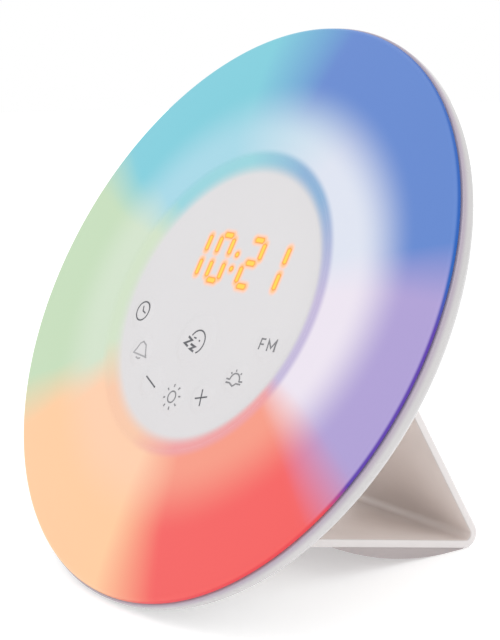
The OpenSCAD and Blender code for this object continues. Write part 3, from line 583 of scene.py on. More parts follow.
def opal_finish():
    """Opal cover: coloured light from behind that fades to white near the crest, further out on the right
    with a painted reflection, a soft grey panel with the digits' halo, and a satin skin."""
    f = Finish("opal_cover", Roughness=0.42, Specular_IOR_Level=0.3, Emission_Strength=0.5)
    x, y = f.along(RIGHT), f.along(UP)
    flat = f.add("ShaderNodeCombineXYZ", {0: x, 1: y})
    ring, slope = ring_light(f, x, y, f.vector("LENGTH", flat))
    shoulder = f.vector("LENGTH", f.vector("SUBTRACT", flat, SHOULDER_SHIFT))
    light = f.blend(f.ease(shoulder, *SHOULDER_FADE), slope, ring)
    lit = f.ease(shoulder, *PANEL_FADE)
    halo = digit_halo(f, flat)
    panel = f.blend(halo, linear(tints().panel), screen(252, 190, 140))
    tone = f.blend(lit, panel, light)
    dim = f.blend(lit, (0.765, 0.765, 0.77, 1), (0.42, 0.42, 0.42, 1))
    base = f.blend(1.0, tone, dim, blend_type="MULTIPLY")
    cloud = f.drift(f.noise(30, 3), 0.985, 1.0)
    f.set("Base Color", f.add("ShaderNodeVectorMath", {0: base, "Scale": cloud}, operation="SCALE"))
    unlit = f.blend(halo, (0, 0, 0, 1), screen(214, 100, 40))
    f.set("Emission Color", f.blend(lit, unlit, light))
    f.bump(f.noise(3200, 2), 0.015)
    return f.material


COVER_ROUND, COVER_WALL, RING_SAG = 1.5, 1.6, 0.5
# The crest's inner lip, the share of it that is rounded, and the inset of the wall under it
CREST_LIP, CREST_ROUNDED, CREST_UNDER = 1.4, 0.75, 0.4
PANEL_RADII = (0, 8, 16, 24, 30, 35)
PANEL_UNDER_R = 41.8
SKIRT_IN, SKIRT_T, SKIRT_LOW, SKIRT_TOP = 2.4, 2.4, -5, -2
SHOULDER_STEPS, RING_STEPS, UNDER_STEPS = 12, 28, 12


def cover_outline():
    """The cover's section: panel, soft shoulder, crest, ring and skirt, then back along its inside."""
    s = sizes()
    face_r, crest_r, crest_h, panel_r = s.face_r / MM, s.crest_r / MM, s.crest_h / MM, s.panel_r / MM
    low = panel_height()
    edge_r = face_r - COVER_ROUND
    shoulder_r = crest_r - CREST_LIP
    shoulder_z = crest_h - CREST_LIP / 3

    def ring(k):
        return crest_r + (edge_r - crest_r) * k, crest_h * (1 - k) + RING_SAG * 4 * k * (1 - k)

    line = [(r, low) for r in PANEL_RADII]
    for i in range(SHOULDER_STEPS + 1):
        k = i / SHOULDER_STEPS
        line.append((panel_r + (shoulder_r - panel_r) * k, low + (shoulder_z - low) * smoothstep(k)))
    for a in range(75, -1, -15):
        in_r = CREST_LIP * CREST_ROUNDED * math.sin(math.radians(a))
        line.append((crest_r - in_r, crest_h - CREST_LIP / 3 * (1 - math.cos(math.radians(a)))))
    line += [ring(i / RING_STEPS) for i in range(1, RING_STEPS)]
    line += arc((edge_r, -COVER_ROUND), COVER_ROUND, 90, 0, 8)
    skirt_r = rim_radius() - SKIRT_IN
    line += [(skirt_r, -COVER_ROUND), (skirt_r, SKIRT_LOW)]
    line += [(skirt_r - SKIRT_T, SKIRT_LOW), (skirt_r - SKIRT_T, SKIRT_TOP)]
    under = [ring(i / UNDER_STEPS) for i in range(UNDER_STEPS - 1, 0, -1)]
    line += [(r, z - COVER_WALL) for r, z in under]
    line += [(crest_r - CREST_UNDER, crest_h - COVER_WALL)]
    return line + [(PANEL_UNDER_R, low - COVER_WALL), (0, low - COVER_WALL)]


KEY_NAMES = ("clock", "bell", "minus", "sun", "plus", "sunrise", "fm")
KEY_ARC_R, KEY_ARC_UP, KEY_STEP, KEY_R = 32.2, 3.2, 23, 5.4
SNOOZE_X, SNOOZE_Y, SNOOZE_R = -0.3, -11.9, 8.6
# A touch spot's slope, the depth of its root in the panel, and its foot's lift over the panel
SPOT_SLOPE, SPOT_ROOT, SPOT_LIFT, SPOT_STEPS = 2.4, 0.06, 0.004, 9


def key_spots():
    """Name, place and radius of every touch spot."""
    spots = []
    for i, name in enumerate(KEY_NAMES):
        a = math.radians(270 + (i - len(KEY_NAMES) // 2) * KEY_STEP)
        spots.append((name, KEY_ARC_R * math.cos(a), KEY_ARC_UP + KEY_ARC_R * math.sin(a), KEY_R))
    return spots + [("snooze", SNOOZE_X, SNOOZE_Y, SNOOZE_R)]


def dome_outline(radius):
    """A touch spot's section: flat on top, easing down into the panel."""
    low, high = panel_height(), sizes().spot_h / MM
    top_r = radius - SPOT_SLOPE
    line = [(0, low + high), (top_r / 2, low + high)]
    for i in range(SPOT_STEPS + 1):
        k = i / SPOT_STEPS
        line.append((top_r + (radius - top_r) * k, low + high * (1 - smoothstep(k)) + SPOT_LIFT))
    return line + [(radius, low - SPOT_ROOT), (0, low - SPOT_ROOT)]


def make_cover():
    cover = turned("light_cover", cover_outline(), 240)
    material = opal_finish()
    keep(cover, material, ("front_cover",), angle=50)
    for name, x, y, radius in key_spots():
        spot = turned(f"touch_spot_{name}", dome_outline(radius), 64, x, y)
        keep(spot, material, angle=80)


# ---- Printed symbols -----------------------------------------------------------------------------
LINE_W, LETTER_W, PRINT_T = 0.44, 0.62, 0.05
# How much paler than the rest a symbol is printed
WORN = {"bell": 0.3, "fm": 0.12, "sun": 0.15, "sunrise": 0.15}


def round_line(radius, start=0, end=360, x=0.0, y=0.0, steps=24):
    return arc((x, y), radius, start, end, steps)


def rays(inner, outer, angles, y=0.0):
    """Short lines outwards between two radii, at angles in degrees."""
    turns = [math.radians(a) for a in angles]
    return [[(r * math.cos(a), y + r * math.sin(a)) for r in (inner, outer)] for a in turns]


def symbol_lines():
    """Strokes of each symbol in millimetres about its spot."""
    bell = [(-2.8, -1), (-1.9, 0.6), (-1.3, 2.1), (-0.1, 2.8), (1.7, 2), (2.7, 0.2), (3.6, -1.4), (-2.8, -1)]
    chevron = [(-3.2, -1.6), (-1.6, -1.5), (0, -2.2), (1.1, -1.3), (3, -1.2)]
    half_sun = [round_line(2, 0, 180, 0, -0.6, 12), [(-3.5, -0.6), (-2, -0.6)], [(2, -0.6), (3.3, -0.4)]]
    face = round_line(3.4, 155, -65, 1.1, -0.5, 20)
    return {
        "clock": [round_line(2.9, x=0.1, y=0.6), [(-0.5, 2.1), (0.1, 0.6), (1.7, 0.1)]],
        "bell": [bell, [(-0.9, -2.1), (0.3, -2.4), (1.4, -2.1)]],
        "minus": [[(-2.6, 0.8), (3.3, -1.5)]],
        "sun": [round_line(1.65)] + rays(2.85, 3.7, range(12, 372, 45)),
        "plus": [[(-2.4, -1), (2.4, 0.4)], [(-0.7, 2), (0.7, -2.6)]],
        "sunrise": half_sun + [chevron] + rays(2.5, 3.1, (51, 103, 141), -0.6),
        "fm": [[(-2.6, -1.7), (-2.7, 1.3), (-1, 1.4)], [(-2.6, -0.2), (-1.2, -0.1)],
               [(0.8, -1.6), (0.4, 1.3), (2.1, -0.6), (3.3, 1.5), (3.6, -1.4)]],
        "snooze": [face, [(-0.8, 0.5), (0.4, 0.4)], [(1.8, 0), (2.4, -0.1)]],
        "letters": [[(-3.3, 0.4), (-1.2, -0.4), (-4, -1.7), (-2, -2.4)],
                    [(-1.1, -1.5), (1.2, -2), (-0.6, -2.9), (1.3, -3.4)]],
    }


def line_edges(points, closed, width):
    """The left and right edges of a line of one width."""
    left, right = [], []
    for k, point in enumerate(points):
        here = Vector(point)
        before = Vector(points[k - 1]) if closed or k else None
        after = Vector(points[(k + 1) % len(points)]) if closed or k < len(points) - 1 else None
        one = (here - before).normalized() if before is not None else (after - here).normalized()
        two = (after - here).normalized() if after is not None else one
        normal = Vector((-one.y - two.y, one.x + two.x)) / (1 + one.dot(two))
        left.append(here + normal * width / 2)
        right.append(here - normal * width / 2)
    return left, right


def stroke(name, line, width, x, y, base_z):
    """A flat printed line of one width, standing a hair proud of the surface."""
    closed = (Vector(line[0]) - Vector(line[-1])).length < 0.01
    points = [(x + px, y + py) for px, py in (line[:-1] if closed else line)]
    edges = []
    for edge in line_edges(points, closed, width):
        places = [at(p.x, p.y, base_z + PRINT_T) for p in edge]
        edges.append(places + places[:1] if closed else places)
    o = bridge(name, edges)
    pull(-OUT * PRINT_T * 2 * MM)
    tidy(1e-7)
    leave()
    return o


def print_finish():
    """Screen print: dense grey ink with a mottled tone, paler on worn symbols, and a fine grain."""
    f = Finish("key_print", Specular_IOR_Level=0.3)
    ink = linear(tints().print_grey)
    tone = f.ramp(f.noise(1400, 4), [(0.3, shade(ink, 0.75)), (0.75, shade(ink, 1.3))])
    f.set("Base Color", f.blend(f.mark("worn"), tone, linear(tints().panel)))
    f.set("Roughness", f.drift(f.noise(500, 2), 0.5, 0.7))
    f.bump(f.noise(2600, 2), 0.05)
    return f.material


def make_symbols():
    top = (sizes().spot_h - sizes().panel_drop) / MM
    places = {spot[0]: spot[1:3] for spot in key_spots()}
    places["letters"] = places["snooze"]
    parts = []
    for name, lines in symbol_lines().items():
        width = LETTER_W if name == "letters" else LINE_W
        for i, line in enumerate(lines):
            o = stroke(f"symbol_{name}_{i}", line, width, *places[name], top)
            worn = o.data.attributes.new("worn", "FLOAT", "POINT")
            for value in worn.data:
                value.value = WORN.get(name, 0.0)
            parts.append(o)
    keep(join("key_symbols", parts), print_finish(), ("key_legends",))


# ---- Lit digits ----------------------------------------------------------------------------------
SEGMENT_LIFT, SEGMENT_T, DOT_SIDES = 0.03, 0.08, 16
# Shares of a segment's half width: its bright core, and the length of its pointed tip
CORE_SHARE, TIP_SHARE = 0.4, 0.55


def digit_finish():
    """Lit segment: bright amber in the middle, deeper orange at its edge."""
    f = Finish("lit_segment", Roughness=0.5, Emission_Strength=0.62)
    stops = [(0.1, linear(tints().digit_edge)), (0.9, linear(tints().digit_core))]
    tone = f.ramp(f.mark("glow"), stops)
    f.set("Base Color", f.blend(0.6, tone, (0, 0, 0, 1)))
    f.set("Emission Color", tone)
    f.bump(f.noise(2000, 2), 0.02)
    return f.material


def segment_outline(across, along):
    """A lozenge for a bar and a round for a dot."""
    half = SEGMENT_W / 2
    reach = max(across, along)
    if not reach:
        return arc((0, 0), half, 0, 360 - 360 / DOT_SIDES, DOT_SIDES - 1)
    tip = reach + half * TIP_SHARE
    outline = [(-tip, 0), (-reach, half), (reach, half), (tip, 0), (reach, -half), (-reach, -half)]
    return [(-b, a) for a, b in outline] if along else outline


def segment(name, points):
    """A lit plate, whose inner face carries the bright core."""
    o = draw(name, points)
    pick()
    bpy.ops.mesh.edge_face_add()
    pull(-OUT * SEGMENT_T * MM)
    bpy.ops.mesh.select_mode(type="FACE")
    pick("DESELECT")
    leave()
    top = max(o.data.polygons, key=lambda p: (p.center - CENTRE).dot(OUT))
    top.select = True
    enter()
    bpy.ops.mesh.inset(thickness=SEGMENT_W / 2 * (1 - CORE_SHARE) * MM)
    leave()
    inner = {v for face in o.data.polygons if face.select for v in face.vertices}
    glow = o.data.attributes.new("glow", "FLOAT", "POINT")
    for v in o.data.vertices:
        glow.data[v.index].value = 1.0 if v.index in inner else 0.0
    enter()
    bpy.ops.mesh.select_mode(type="VERT")
    pick()
    bpy.ops.mesh.normals_make_consistent(inside=False)
    leave()
    return o


def make_digits():
    lift = panel_height() + SEGMENT_LIFT
    plates = []
    for i, (x, y, across, along) in enumerate(lit_bars()):
        points = [at(x + a, y + b, lift) for a, b in segment_outline(across, along)]
        plates.append(segment(f"segment_{i}", points))
    keep(join("lit_digits", plates), digit_finish())


# ---- Rear shell ----------------------------------------------------------------------------------
ROUND, SIDE, SLOPE, BACK_ROUND, WALL, RIM_EDGE = 4.0, 4.3, 31.4, 10.0, 2.2, 0.5
GROOVE_Z, GROOVE_R, STEP_Z = -2.0, 84.0, -1.5
SPEAKER_Y, HOLE_R, HOLE_PITCH, HOLE_RINGS = 36.0, 0.9, 3.4, 3
CELL_X, WELL_R, WELL_DEEP, WELL_WALL = -44.0, 10.3, 4.0, 1.4
DOOR_HALF, DOOR_T, TONGUE, DOOR_GAP = 11.8, 1.6, 1.0, 0.2
# The door's inner end, and a place beyond its outer end
DOOR_IN, DOOR_OUT = -31.8, -70
JACK, JACK_ROOM_R = (42.0, 0.0), 4.25
GROMMET, GROMMET_R = (38.0, -30.0), 2.5
# How far a cutter passes a surface, and how far two cuts overlap
PAST, OVERLAP = 1, 0.01
SEAT_RIM, SEAT_T, SEAT_LIFT = 0.6, 2, 4.2
# Depths below the cover's edge between which the painted shade by the parting groove fades into the shell's
# colour
GROOVE_SHADE_FADE = (2.1, 4.2)


def back_arcs(inset):
    """The rounded rim, the cone and the rounded edge of the flat back, sunk in by an inset."""
    turn = 90 - SLOPE
    u, w = math.cos(math.radians(turn)), -math.sin(math.radians(turn))
    fold_r, back_z = rim_radius() - ROUND, flat_back() + BACK_ROUND
    back_r = ((ROUND - BACK_ROUND) + fold_r * u - SIDE * w - back_z * w) / u
    rim = arc((fold_r, -SIDE), ROUND - inset, 0, -turn, 14)
    return rim + arc((back_r, back_z), BACK_ROUND - inset, -turn, -90, 12)


def outer_solid(name, top):
    """The outside of the rear shell as a solid up to a height."""
    edge = arc((rim_radius() - RIM_EDGE, top - RIM_EDGE), RIM_EDGE, 90, 0, 5)
    return turned(name, [(0, top)] + edge + back_arcs(0) + [(0, flat_back())], 240)


def grille_places():
    """The speaker's middle hole and the rings of holes round it."""
    places = [(0.0, 0.0)]
    for k in range(1, HOLE_RINGS + 1):
        for i in range(6 * k):
            a = math.tau * i / (6 * k)
            places.append((k * HOLE_PITCH * math.cos(a), k * HOLE_PITCH * math.sin(a)))
    return places


def shell_finish():
    """Glossy shell plastic, with a painted purplish-grey shade along the parting groove where the lit cover
    meets it.
    """
    f = moulding("shell_white", 0.35)
    tone = linear(tints().shell)
    skin = f.mottle(f.noise(38, 4), shade(tone, 0.975), shade(tone, 1.025))
    # Painted shade: purplish grey at the groove, fading into the shell's colour further down the rim
    f.set("Base Color", f.blend(f.ease(f.along(-OUT), *GROOVE_SHADE_FADE), screen(158, 147, 160), skin))
    f.set("Roughness", f.drift(f.noise(90, 5), 0.2, 0.29))
    return f.material


def cut_holes(shell):
    """Opens the speaker's grille, the power socket's hole and the aerial's hole."""
    low, high = flat_back() - PAST, flat_back() + WALL + PAST
    holes = [rod("hole", HOLE_R, low, high, x, SPEAKER_Y + y, 20) for x, y in grille_places()]
    holes.append(rod("hole", JACK_ROOM_R, low, high, *JACK, 48))
    holes.append(rod("hole", GROMMET_R, low, high, *GROMMET, 32))
    combine(shell, join("holes", holes), "DIFFERENCE")


def cut_battery_room(shell):
    """Opens the door's bed, the grooves of its tongues and the well of the cell."""
    flat_z = flat_back()
    door_z = flat_z + DOOR_T
    step = (flat_z + door_z) / 2
    half, end = DOOR_HALF + DOOR_GAP, DOOR_IN + DOOR_GAP
    for low, high in (
        ((DOOR_OUT, -half, flat_z - PAST), (end, half, step + OVERLAP)),
        ((DOOR_OUT, -half - TONGUE, step - DOOR_GAP / 2), (end, half + TONGUE, door_z)),
    ):
        combine(shell, slab("door_room", low, high), "DIFFERENCE")
    combine(shell, rod("well_room", WELL_R, flat_z, flat_z + WALL + PAST, CELL_X, 0, 64), "DIFFERENCE")


def make_shell():
    rim_r, flat_z = rim_radius(), flat_back()
    floor_z = flat_z + WALL
    edge = arc((rim_r - RIM_EDGE, GROOVE_Z - RIM_EDGE), RIM_EDGE, 0, 90, 5)
    outline = [(0, flat_z)] + back_arcs(0)[::-1] + edge
    outline += [(GROOVE_R, GROOVE_Z), (GROOVE_R, STEP_Z), (rim_r - WALL, STEP_Z)]
    outline += back_arcs(WALL) + [(0, floor_z)]
    shell = turned("rear_shell", outline, 240)
    cut_holes(shell)
    cut_battery_room(shell)
    soften(shell, 0.15, 1, 50)
    material = shell_finish()
    keep(shell, material, ("rear_housing",))
    well_top = flat_z + DOOR_T + WELL_DEEP
    out_r, out_z = WELL_R + WELL_WALL, well_top + WELL_WALL
    well = turned("battery_well", [
        (WELL_R, floor_z), (WELL_R, well_top), (0, well_top), (0, out_z), (out_r, out_z), (out_r, floor_z),
        (WELL_R, floor_z)], 64, CELL_X, 0)
    keep(well, material)
    return material


def make_seat(material):
    """The raised seat of the stand's flange, slanted at its lower end."""
    low_v, top_v = seat_span()
    flat_z = flat_back()
    half = stand_half() + SEAT_RIM
    seat = slab("stand_seat", (-half, low_v - SEAT_RIM, flat_z), (half, top_v + SEAT_RIM, flat_z + SEAT_T))
    edit_all()
    pick("DESELECT")
    leave()
    for v in seat.data.vertices:
        p = (v.co - CENTRE) / MM
        v.select = p.dot(OUT) > flat_z + SEAT_T / 2 and p.dot(UP) < (low_v + top_v) / 2
    enter()
    bpy.ops.transform.translate(value=OUT * SEAT_LIFT * MM)
    leave()
    keep(soften(seat, 0.4, 2), material)


RIDGE_COUNT, RIDGE_X, RIDGE_STEP = 4, -45.3, 2
RIDGE_HALF_W, RIDGE_HALF_LONG, RIDGE_PROUD = 0.4, 6, 0.3


def make_door():
    flat_z = flat_back()
    door_z = flat_z + DOOR_T
    step = (flat_z + door_z) / 2
    door = slab("door_cover", (DOOR_OUT, -DOOR_HALF, flat_z - PAST), (DOOR_IN, DOOR_HALF, door_z))
    reach = DOOR_HALF + TONGUE
    combine(door, slab("tongues", (DOOR_OUT, -reach, step), (DOOR_IN, reach, door_z)), "UNION")
    combine(door, outer_solid("outside", GROOVE_Z), "INTERSECT")
    soften(door, 0.12, 1, 50)
    ridges = []
    for i in range(RIDGE_COUNT):
        x = RIDGE_X + RIDGE_STEP * i
        low = (x - RIDGE_HALF_W, -RIDGE_HALF_LONG, flat_z - RIDGE_PROUD)
        high = (x + RIDGE_HALF_W, RIDGE_HALF_LONG, flat_z + RIDGE_PROUD)
        ridges.append(soften(slab("ridge", low, high), 0.25, 2))
    material = plastic("door_white", linear(tints().shell), 0.28, 0.3)
    keep(door, material, ("battery_door",), body=DOOR)
    keep(join("door_ridges", ridges), material, body=DOOR)


BARREL_R, BARREL_DEEP, BARREL_CHAMFER = 4.2, 12, 0.25
COLLAR_R, COLLAR_T = 5.6, 1.5
BORE_R, BORE_DEEP = 2.85, 9
PIN_R, PIN_BACK, PIN_CHAMFER = 1.05, 0.6, 0.3
GLAND_R, GLAND_INNER_R, GLAND_BORE_R, GLAND_T, GLAND_CHAMFER = 3.4, 3.2, 0.9, 0.8, 0.4


def make_socket():
    flat_z = flat_back()
    floor_z = flat_z + WALL
    mouth, end, tip = flat_z + BORE_DEEP, flat_z + BARREL_DEEP, flat_z + PIN_BACK
    lip = flat_z + BARREL_CHAMFER
    socket = turned("socket_barrel", [
        (PIN_R, tip + PIN_CHAMFER), (PIN_R - PIN_CHAMFER, tip), (0, tip), (0, end), (BARREL_R, end),
        (BARREL_R, floor_z + COLLAR_T), (COLLAR_R, floor_z + COLLAR_T), (COLLAR_R, floor_z),
        (BARREL_R, floor_z), (BARREL_R, lip), (BARREL_R - BARREL_CHAMFER, flat_z),
        (BORE_R + BARREL_CHAMFER, flat_z), (BORE_R, lip), (BORE_R, mouth), (PIN_R, mouth)], 64, *JACK)
    black = plastic("socket_black", screen(30, 30, 32), 0.45, 0, 1800, 0.05, 0.2)
    keep(socket, black, ("power_socket",))
    low, high = flat_z - GLAND_T, floor_z + GLAND_T
    gland = turned("aerial_gland", [
        (GLAND_BORE_R, low), (GLAND_R - GLAND_CHAMFER, low), (GLAND_R, low + GLAND_CHAMFER),
        (GLAND_R, flat_z), (GROMMET_R, flat_z), (GROMMET_R, floor_z), (GLAND_INNER_R, floor_z),
        (GLAND_INNER_R, high), (GLAND_BORE_R, high)], 48, *GROMMET)
    keep(gland, rubber("gland_rubber", screen(96, 96, 94)), ("aerial_grommet",))


# ---- Stand ---------------------------------------------------------------------------------------
REACH, BEND_R, BEND_LIFT, STAND_T, FLANGE_T = 107.4, 4.0, 0.2, 2.3, 2.4
LEAN, RISE = math.radians(31.8), math.radians(11.3)
FOOT_ARC_R, FOOT_BACK, FOOT_FLAT, FOOT_INSET, FOOT_TOE = 108.0, 5.4, 4.0, 0.5, 0.2
# The rear bend's middle, and the ways of the base and the leg with their outer sides, as y and z. Here y
# is counted from the disc's resting point, which the shell's lowest line gives.
BEND = Vector((REACH, BEND_R + BEND_LIFT))
BASE, BASE_OUT = Vector((-math.cos(RISE), math.sin(RISE))), Vector((-math.sin(RISE), -math.cos(RISE)))
LEG, LEG_OUT = Vector((-math.sin(LEAN), math.cos(LEAN))), Vector((math.cos(LEAN), math.sin(LEAN)))
# The screw bosses' places from the flange's side and ends, their sizes, and the room for each screw
BOSS_IN, BOSS_UP, BOSS_DOWN = 11, 12, 15
BOSS_R, BOSS_LONG, BOSS_CHAMFER, BOSS_ROOT = 3.2, 4, 0.3, 0.2
SCREW_ROOM_R, SCREW_ROOM_LOW, SCREW_ROOM_HIGH = 1.3, 1, 3.8


def rest_y():
    """The place, along y, of the disc's resting point, in millimetres."""
    fold = rim_radius() - ROUND
    return CENTRE.y / MM - (fold * math.sin(TILT) - SIDE * math.cos(TILT))


def from_rest(p):
    return Vector((0, (p[0] + rest_y()) * MM, p[1] * MM))


def meet(p, d, z):
    """Where a line in the y-z plane meets the plane at a height of the disc's frame."""
    start = (from_rest(p) - CENTRE).dot(OUT) / MM
    slope = Vector((0, d[0], d[1])).dot(OUT)
    return p + d * ((z - start) / slope)


def seat_span():
    """The lowest and highest place on the disc, up its face, of the stand's flange."""
    low = meet(BEND + BASE_OUT * BEND_R, BASE, flat_back())
    top = meet(BEND + LEG_OUT * BEND_R, LEG, flat_back())
    return [(from_rest(p) - CENTRE).dot(UP) / MM for p in (low, top)]


def loop_points(radius, z):
    """One side of the loop's plate: up the base from the disc, round the bend and up the leg."""
    bend = [Vector(p) for p in arc(BEND, radius, -90 - math.degrees(RISE), math.degrees(LEAN), 16)]
    return [meet(BEND + BASE_OUT * radius, BASE, z)] + bend + [meet(BEND + LEG_OUT * radius, LEG, z)]


def on_side(points, half):
    """The points on one side of the stand, in the model's metres."""
    return [from_rest(p) + Vector((-half * MM, 0, 0)) for p in points]


def stand_finish():
    """Glossy white plastic, with painted warm light on the faces inside the loop, which are also a little
    duller.
    """
    f = moulding("stand_white", 0.4)
    inside = f.mark("inside")
    cloud = f.noise(38, 4)
    stand, loop = linear(tints().stand), linear(tints().loop)
    outer = f.mottle(cloud, shade(stand, 0.97), stand)
    # Painted warm light: the faces inside the loop take a warmer tint for the cover's light falling into the
    # loop's shade
    inner = f.mottle(cloud, shade(loop, 0.96), shade(loop, 1.03))
    f.set("Base Color", f.blend(inside, outer, inner))
    gloss = f.drift(f.noise(90, 5), 0.2, 0.28)
    f.set("Roughness", f.sum("ADD", gloss, f.sum("MULTIPLY", inside, 0.12)))
    return f.material


def mark_inside(stand, middle):
    """Marks the faces that look into the loop."""
    inside = stand.data.attributes.new("inside", "FLOAT", "FACE")
    for face in stand.data.polygons:
        inwards = face.normal.dot(middle - face.center) > 0 and abs(face.normal.x) < 0.3
        inside.data[face.index].value = 1.0 if inwards else 0.0


def make_bosses(material):
    """The bosses that take the stand's screws."""
    low_v, top_v = seat_span()
    x = stand_half() - BOSS_IN
    low = flat_back() - FLANGE_T - BOSS_LONG
    room_low, room_high = low + SCREW_ROOM_LOW, low + SCREW_ROOM_HIGH
    root = low + BOSS_LONG + BOSS_ROOT
    outline = [
        (0, room_low), (SCREW_ROOM_R, room_low), (SCREW_ROOM_R, room_high), (0, room_high), (0, root),
        (BOSS_R, root), (BOSS_R, low + BOSS_CHAMFER), (BOSS_R - BOSS_CHAMFER, low), (0, low),
    ]
    for side, way in (("left", -1), ("right", 1)):
        for level, v in (("low", low_v + BOSS_UP), ("high", top_v - BOSS_DOWN)):
            keep(turned(f"boss_{level}_{side}", outline, 48, way * x, v), material)


def make_stand():
    half = stand_half()
    line = loop_points(BEND_R, flat_back())
    rims = [on_side(line, half), on_side(loop_points(BEND_R - STAND_T, flat_back() - FLANGE_T), half)]
    stand = bridge("loop_stand", [rim + rim[:1] for rim in rims])
    pull((2 * half * MM, 0, 0))
    tidy()
    leave()
    soften(stand, 0.4, 3, 45)
    mark_inside(stand, sum((from_rest(p) for p in line), Vector()) / len(line))
    material = stand_finish()
    keep(stand, material, ("stand",))
    make_bosses(material)


def make_foot():
    foot = Vector((REACH - FOOT_BACK, math.sqrt(FOOT_ARC_R ** 2 - FOOT_FLAT ** 2)))
    edge = BEND + BASE_OUT * BEND_R
    arm = edge - foot
    along = arm.dot(BASE)
    start = edge + BASE * (-along + math.sqrt(along ** 2 - arm.dot(arm) + FOOT_ARC_R ** 2))
    begin = math.degrees(math.atan2(start.y - foot.y, start.x - foot.x))
    end = -90 - math.degrees(math.asin(FOOT_FLAT / FOOT_ARC_R))
    line = [Vector(p) for p in arc(foot, FOOT_ARC_R, begin, end, 28)]
    line += [Vector((foot.x + FOOT_FLAT, 0)), Vector((edge.x, FOOT_TOE)), edge]
    half = stand_half() - FOOT_INSET
    o = draw("foot_strip", on_side(line, half))
    pick()
    bpy.ops.mesh.edge_face_add()
    pull((2 * half * MM, 0, 0))
    tidy()
    leave()
    # The foot strip is coloured a darker grey than the stand
    material = plastic("foot_rubber", linear(tints().foot), 0.55, 0, 1100, 0.12)
    keep(soften(o, 0.15, 2, 50), material, ("foot_strip",))


# ---- Finishes of the parts inside ----------------------------------------------------------------
def inner_finishes():
    """A material for every material slot of the parts that stay as they were built."""
    return {
        "white_plastic": plastic("inner_white", screen(236, 236, 233), 0.5),
        "circuit_board": board("board_green", screen(22, 84, 48), screen(48, 128, 78)),
        "foam": rubber("foam_black", screen(52, 52, 54), 0.9, 2600),
        "light_board_enamel": board("board_white", screen(236, 236, 230), screen(214, 214, 208)),
        "emitter": lamp_finish(),
        "chip_plastic": plastic("chip_black", screen(34, 34, 36), 0.55, 0, 3000, 0.08, 0.15),
        "tinned_steel": metal("tinned_steel", screen(196, 196, 192), 0.35),
        "aluminium_can": metal("can_aluminium", screen(205, 207, 210), 0.28, (1, 14, 1)),
        "ivory_plastic": plastic("plug_ivory", screen(232, 226, 206), 0.45),
        "cable_white": plastic("cable_white", screen(230, 230, 226), 0.5, 0, 1200, 0.06),
        "magnet": metal("magnet_grey", screen(84, 84, 88), 0.5),
        "rubber_black": rubber("roll_rubber", screen(34, 34, 34), 0.6),
        "cone_paper": rubber("cone_paper", screen(62, 58, 56), 0.85, 1200),
        "wire_red": rubber("wire_red", screen(186, 36, 32), 0.45, 900),
        "wire_black": rubber("wire_black", screen(40, 40, 40), 0.45, 900),
        "cell_steel": metal("cell_steel", screen(214, 214, 212), 0.18, (1, 1, 3)),
        "contact_brass": metal("contact_brass", screen(214, 178, 96), 0.28),
        "screw_steel": metal("screw_zinc", screen(178, 180, 182), 0.3, (6, 6, 1)),
        "segment_light": segment_window_finish(),
    }


def lens(name, roughness, coat, glow, grain, depth, body, light):
    """Lit lens, with a dark and a light screen colour for its body and for its light."""
    f = Finish(name, Roughness=roughness, Coat_Weight=coat, Emission_Strength=glow)
    cells = f.noise(grain, 3)
    f.set("Base Color", f.mottle(cells, *(screen(*c) for c in body)))
    f.set("Emission Color", f.mottle(cells, *(screen(*c) for c in light)))
    f.bump(cells, depth)
    return f.material


def lamp_finish():
    """Light emitter: clear resin over yellow phosphor."""
    body, light = ((238, 222, 160), (252, 246, 214)), ((250, 226, 190), (255, 246, 232))
    return lens("emitter_lens", 0.15, 0.6, 0.6, 900, 0.05, body, light)


def segment_window_finish():
    """Segment windows of the display behind the panel."""
    body, light = ((236, 160, 60), (252, 196, 88)), ((240, 140, 40), (255, 180, 60))
    return lens("segment_window", 0.35, 0, 0.5, 700, 0.04, body, light)


def dress_nodes():
    """Gives each part that stays as it was built the material of its slot."""
    finishes = inner_finishes()
    slots = {part["node"]: part["material_slot"] for part in frame["record"]["subparts"]}
    for node, o in frame["nodes"].items():
        material = finishes.get(slots[node])
        if material is None:
            continue
        for slot in o.material_slots:
            slot.material = material


# ---- Stage, lights and camera --------------------------------------------------------------------
# The paper glows a little, so that the shadows stay as pale as in the photo
FLOOR_SIZE, FLOOR_GLOW = 6, 0.34
LIGHTS_AIM = Vector((0, 0, 0.07))


def make_floor():
    drop_selection()
    bpy.ops.mesh.primitive_plane_add(size=FLOOR_SIZE)
    floor = name_it(bpy.context.object, "floor")
    f = Finish("floor_paper", Roughness=0.9, Specular_IOR_Level=0.1)
    f.set("Base Color", f.ramp(f.noise(6, 3), [(0.2, screen(232, 232, 232)), (0.8, screen(236, 236, 236))]))
    f.shader.inputs["Emission Color"].default_value = (1, 1, 1, 1)
    f.shader.inputs["Emission Strength"].default_value = FLOOR_GLOW
    floor.data.materials.append(f.material)


def area_light(name, azimuth, elevation, distance, size, watts):
    """A round soft light that looks at the clock, from angles in degrees."""
    a, e = math.radians(azimuth), math.radians(elevation)
    away = Vector((math.sin(a) * math.cos(e), -math.cos(a) * math.cos(e), math.sin(e)))
    drop_selection()
    bpy.ops.object.light_add(type="AREA", location=LIGHTS_AIM + away * distance)
    lamp = name_it(bpy.context.object, name)
    lamp.rotation_euler = away.to_track_quat("Z", "Y").to_euler()
    lamp.data.shape = "DISK"
    lamp.data.size = size
    lamp.data.energy = watts


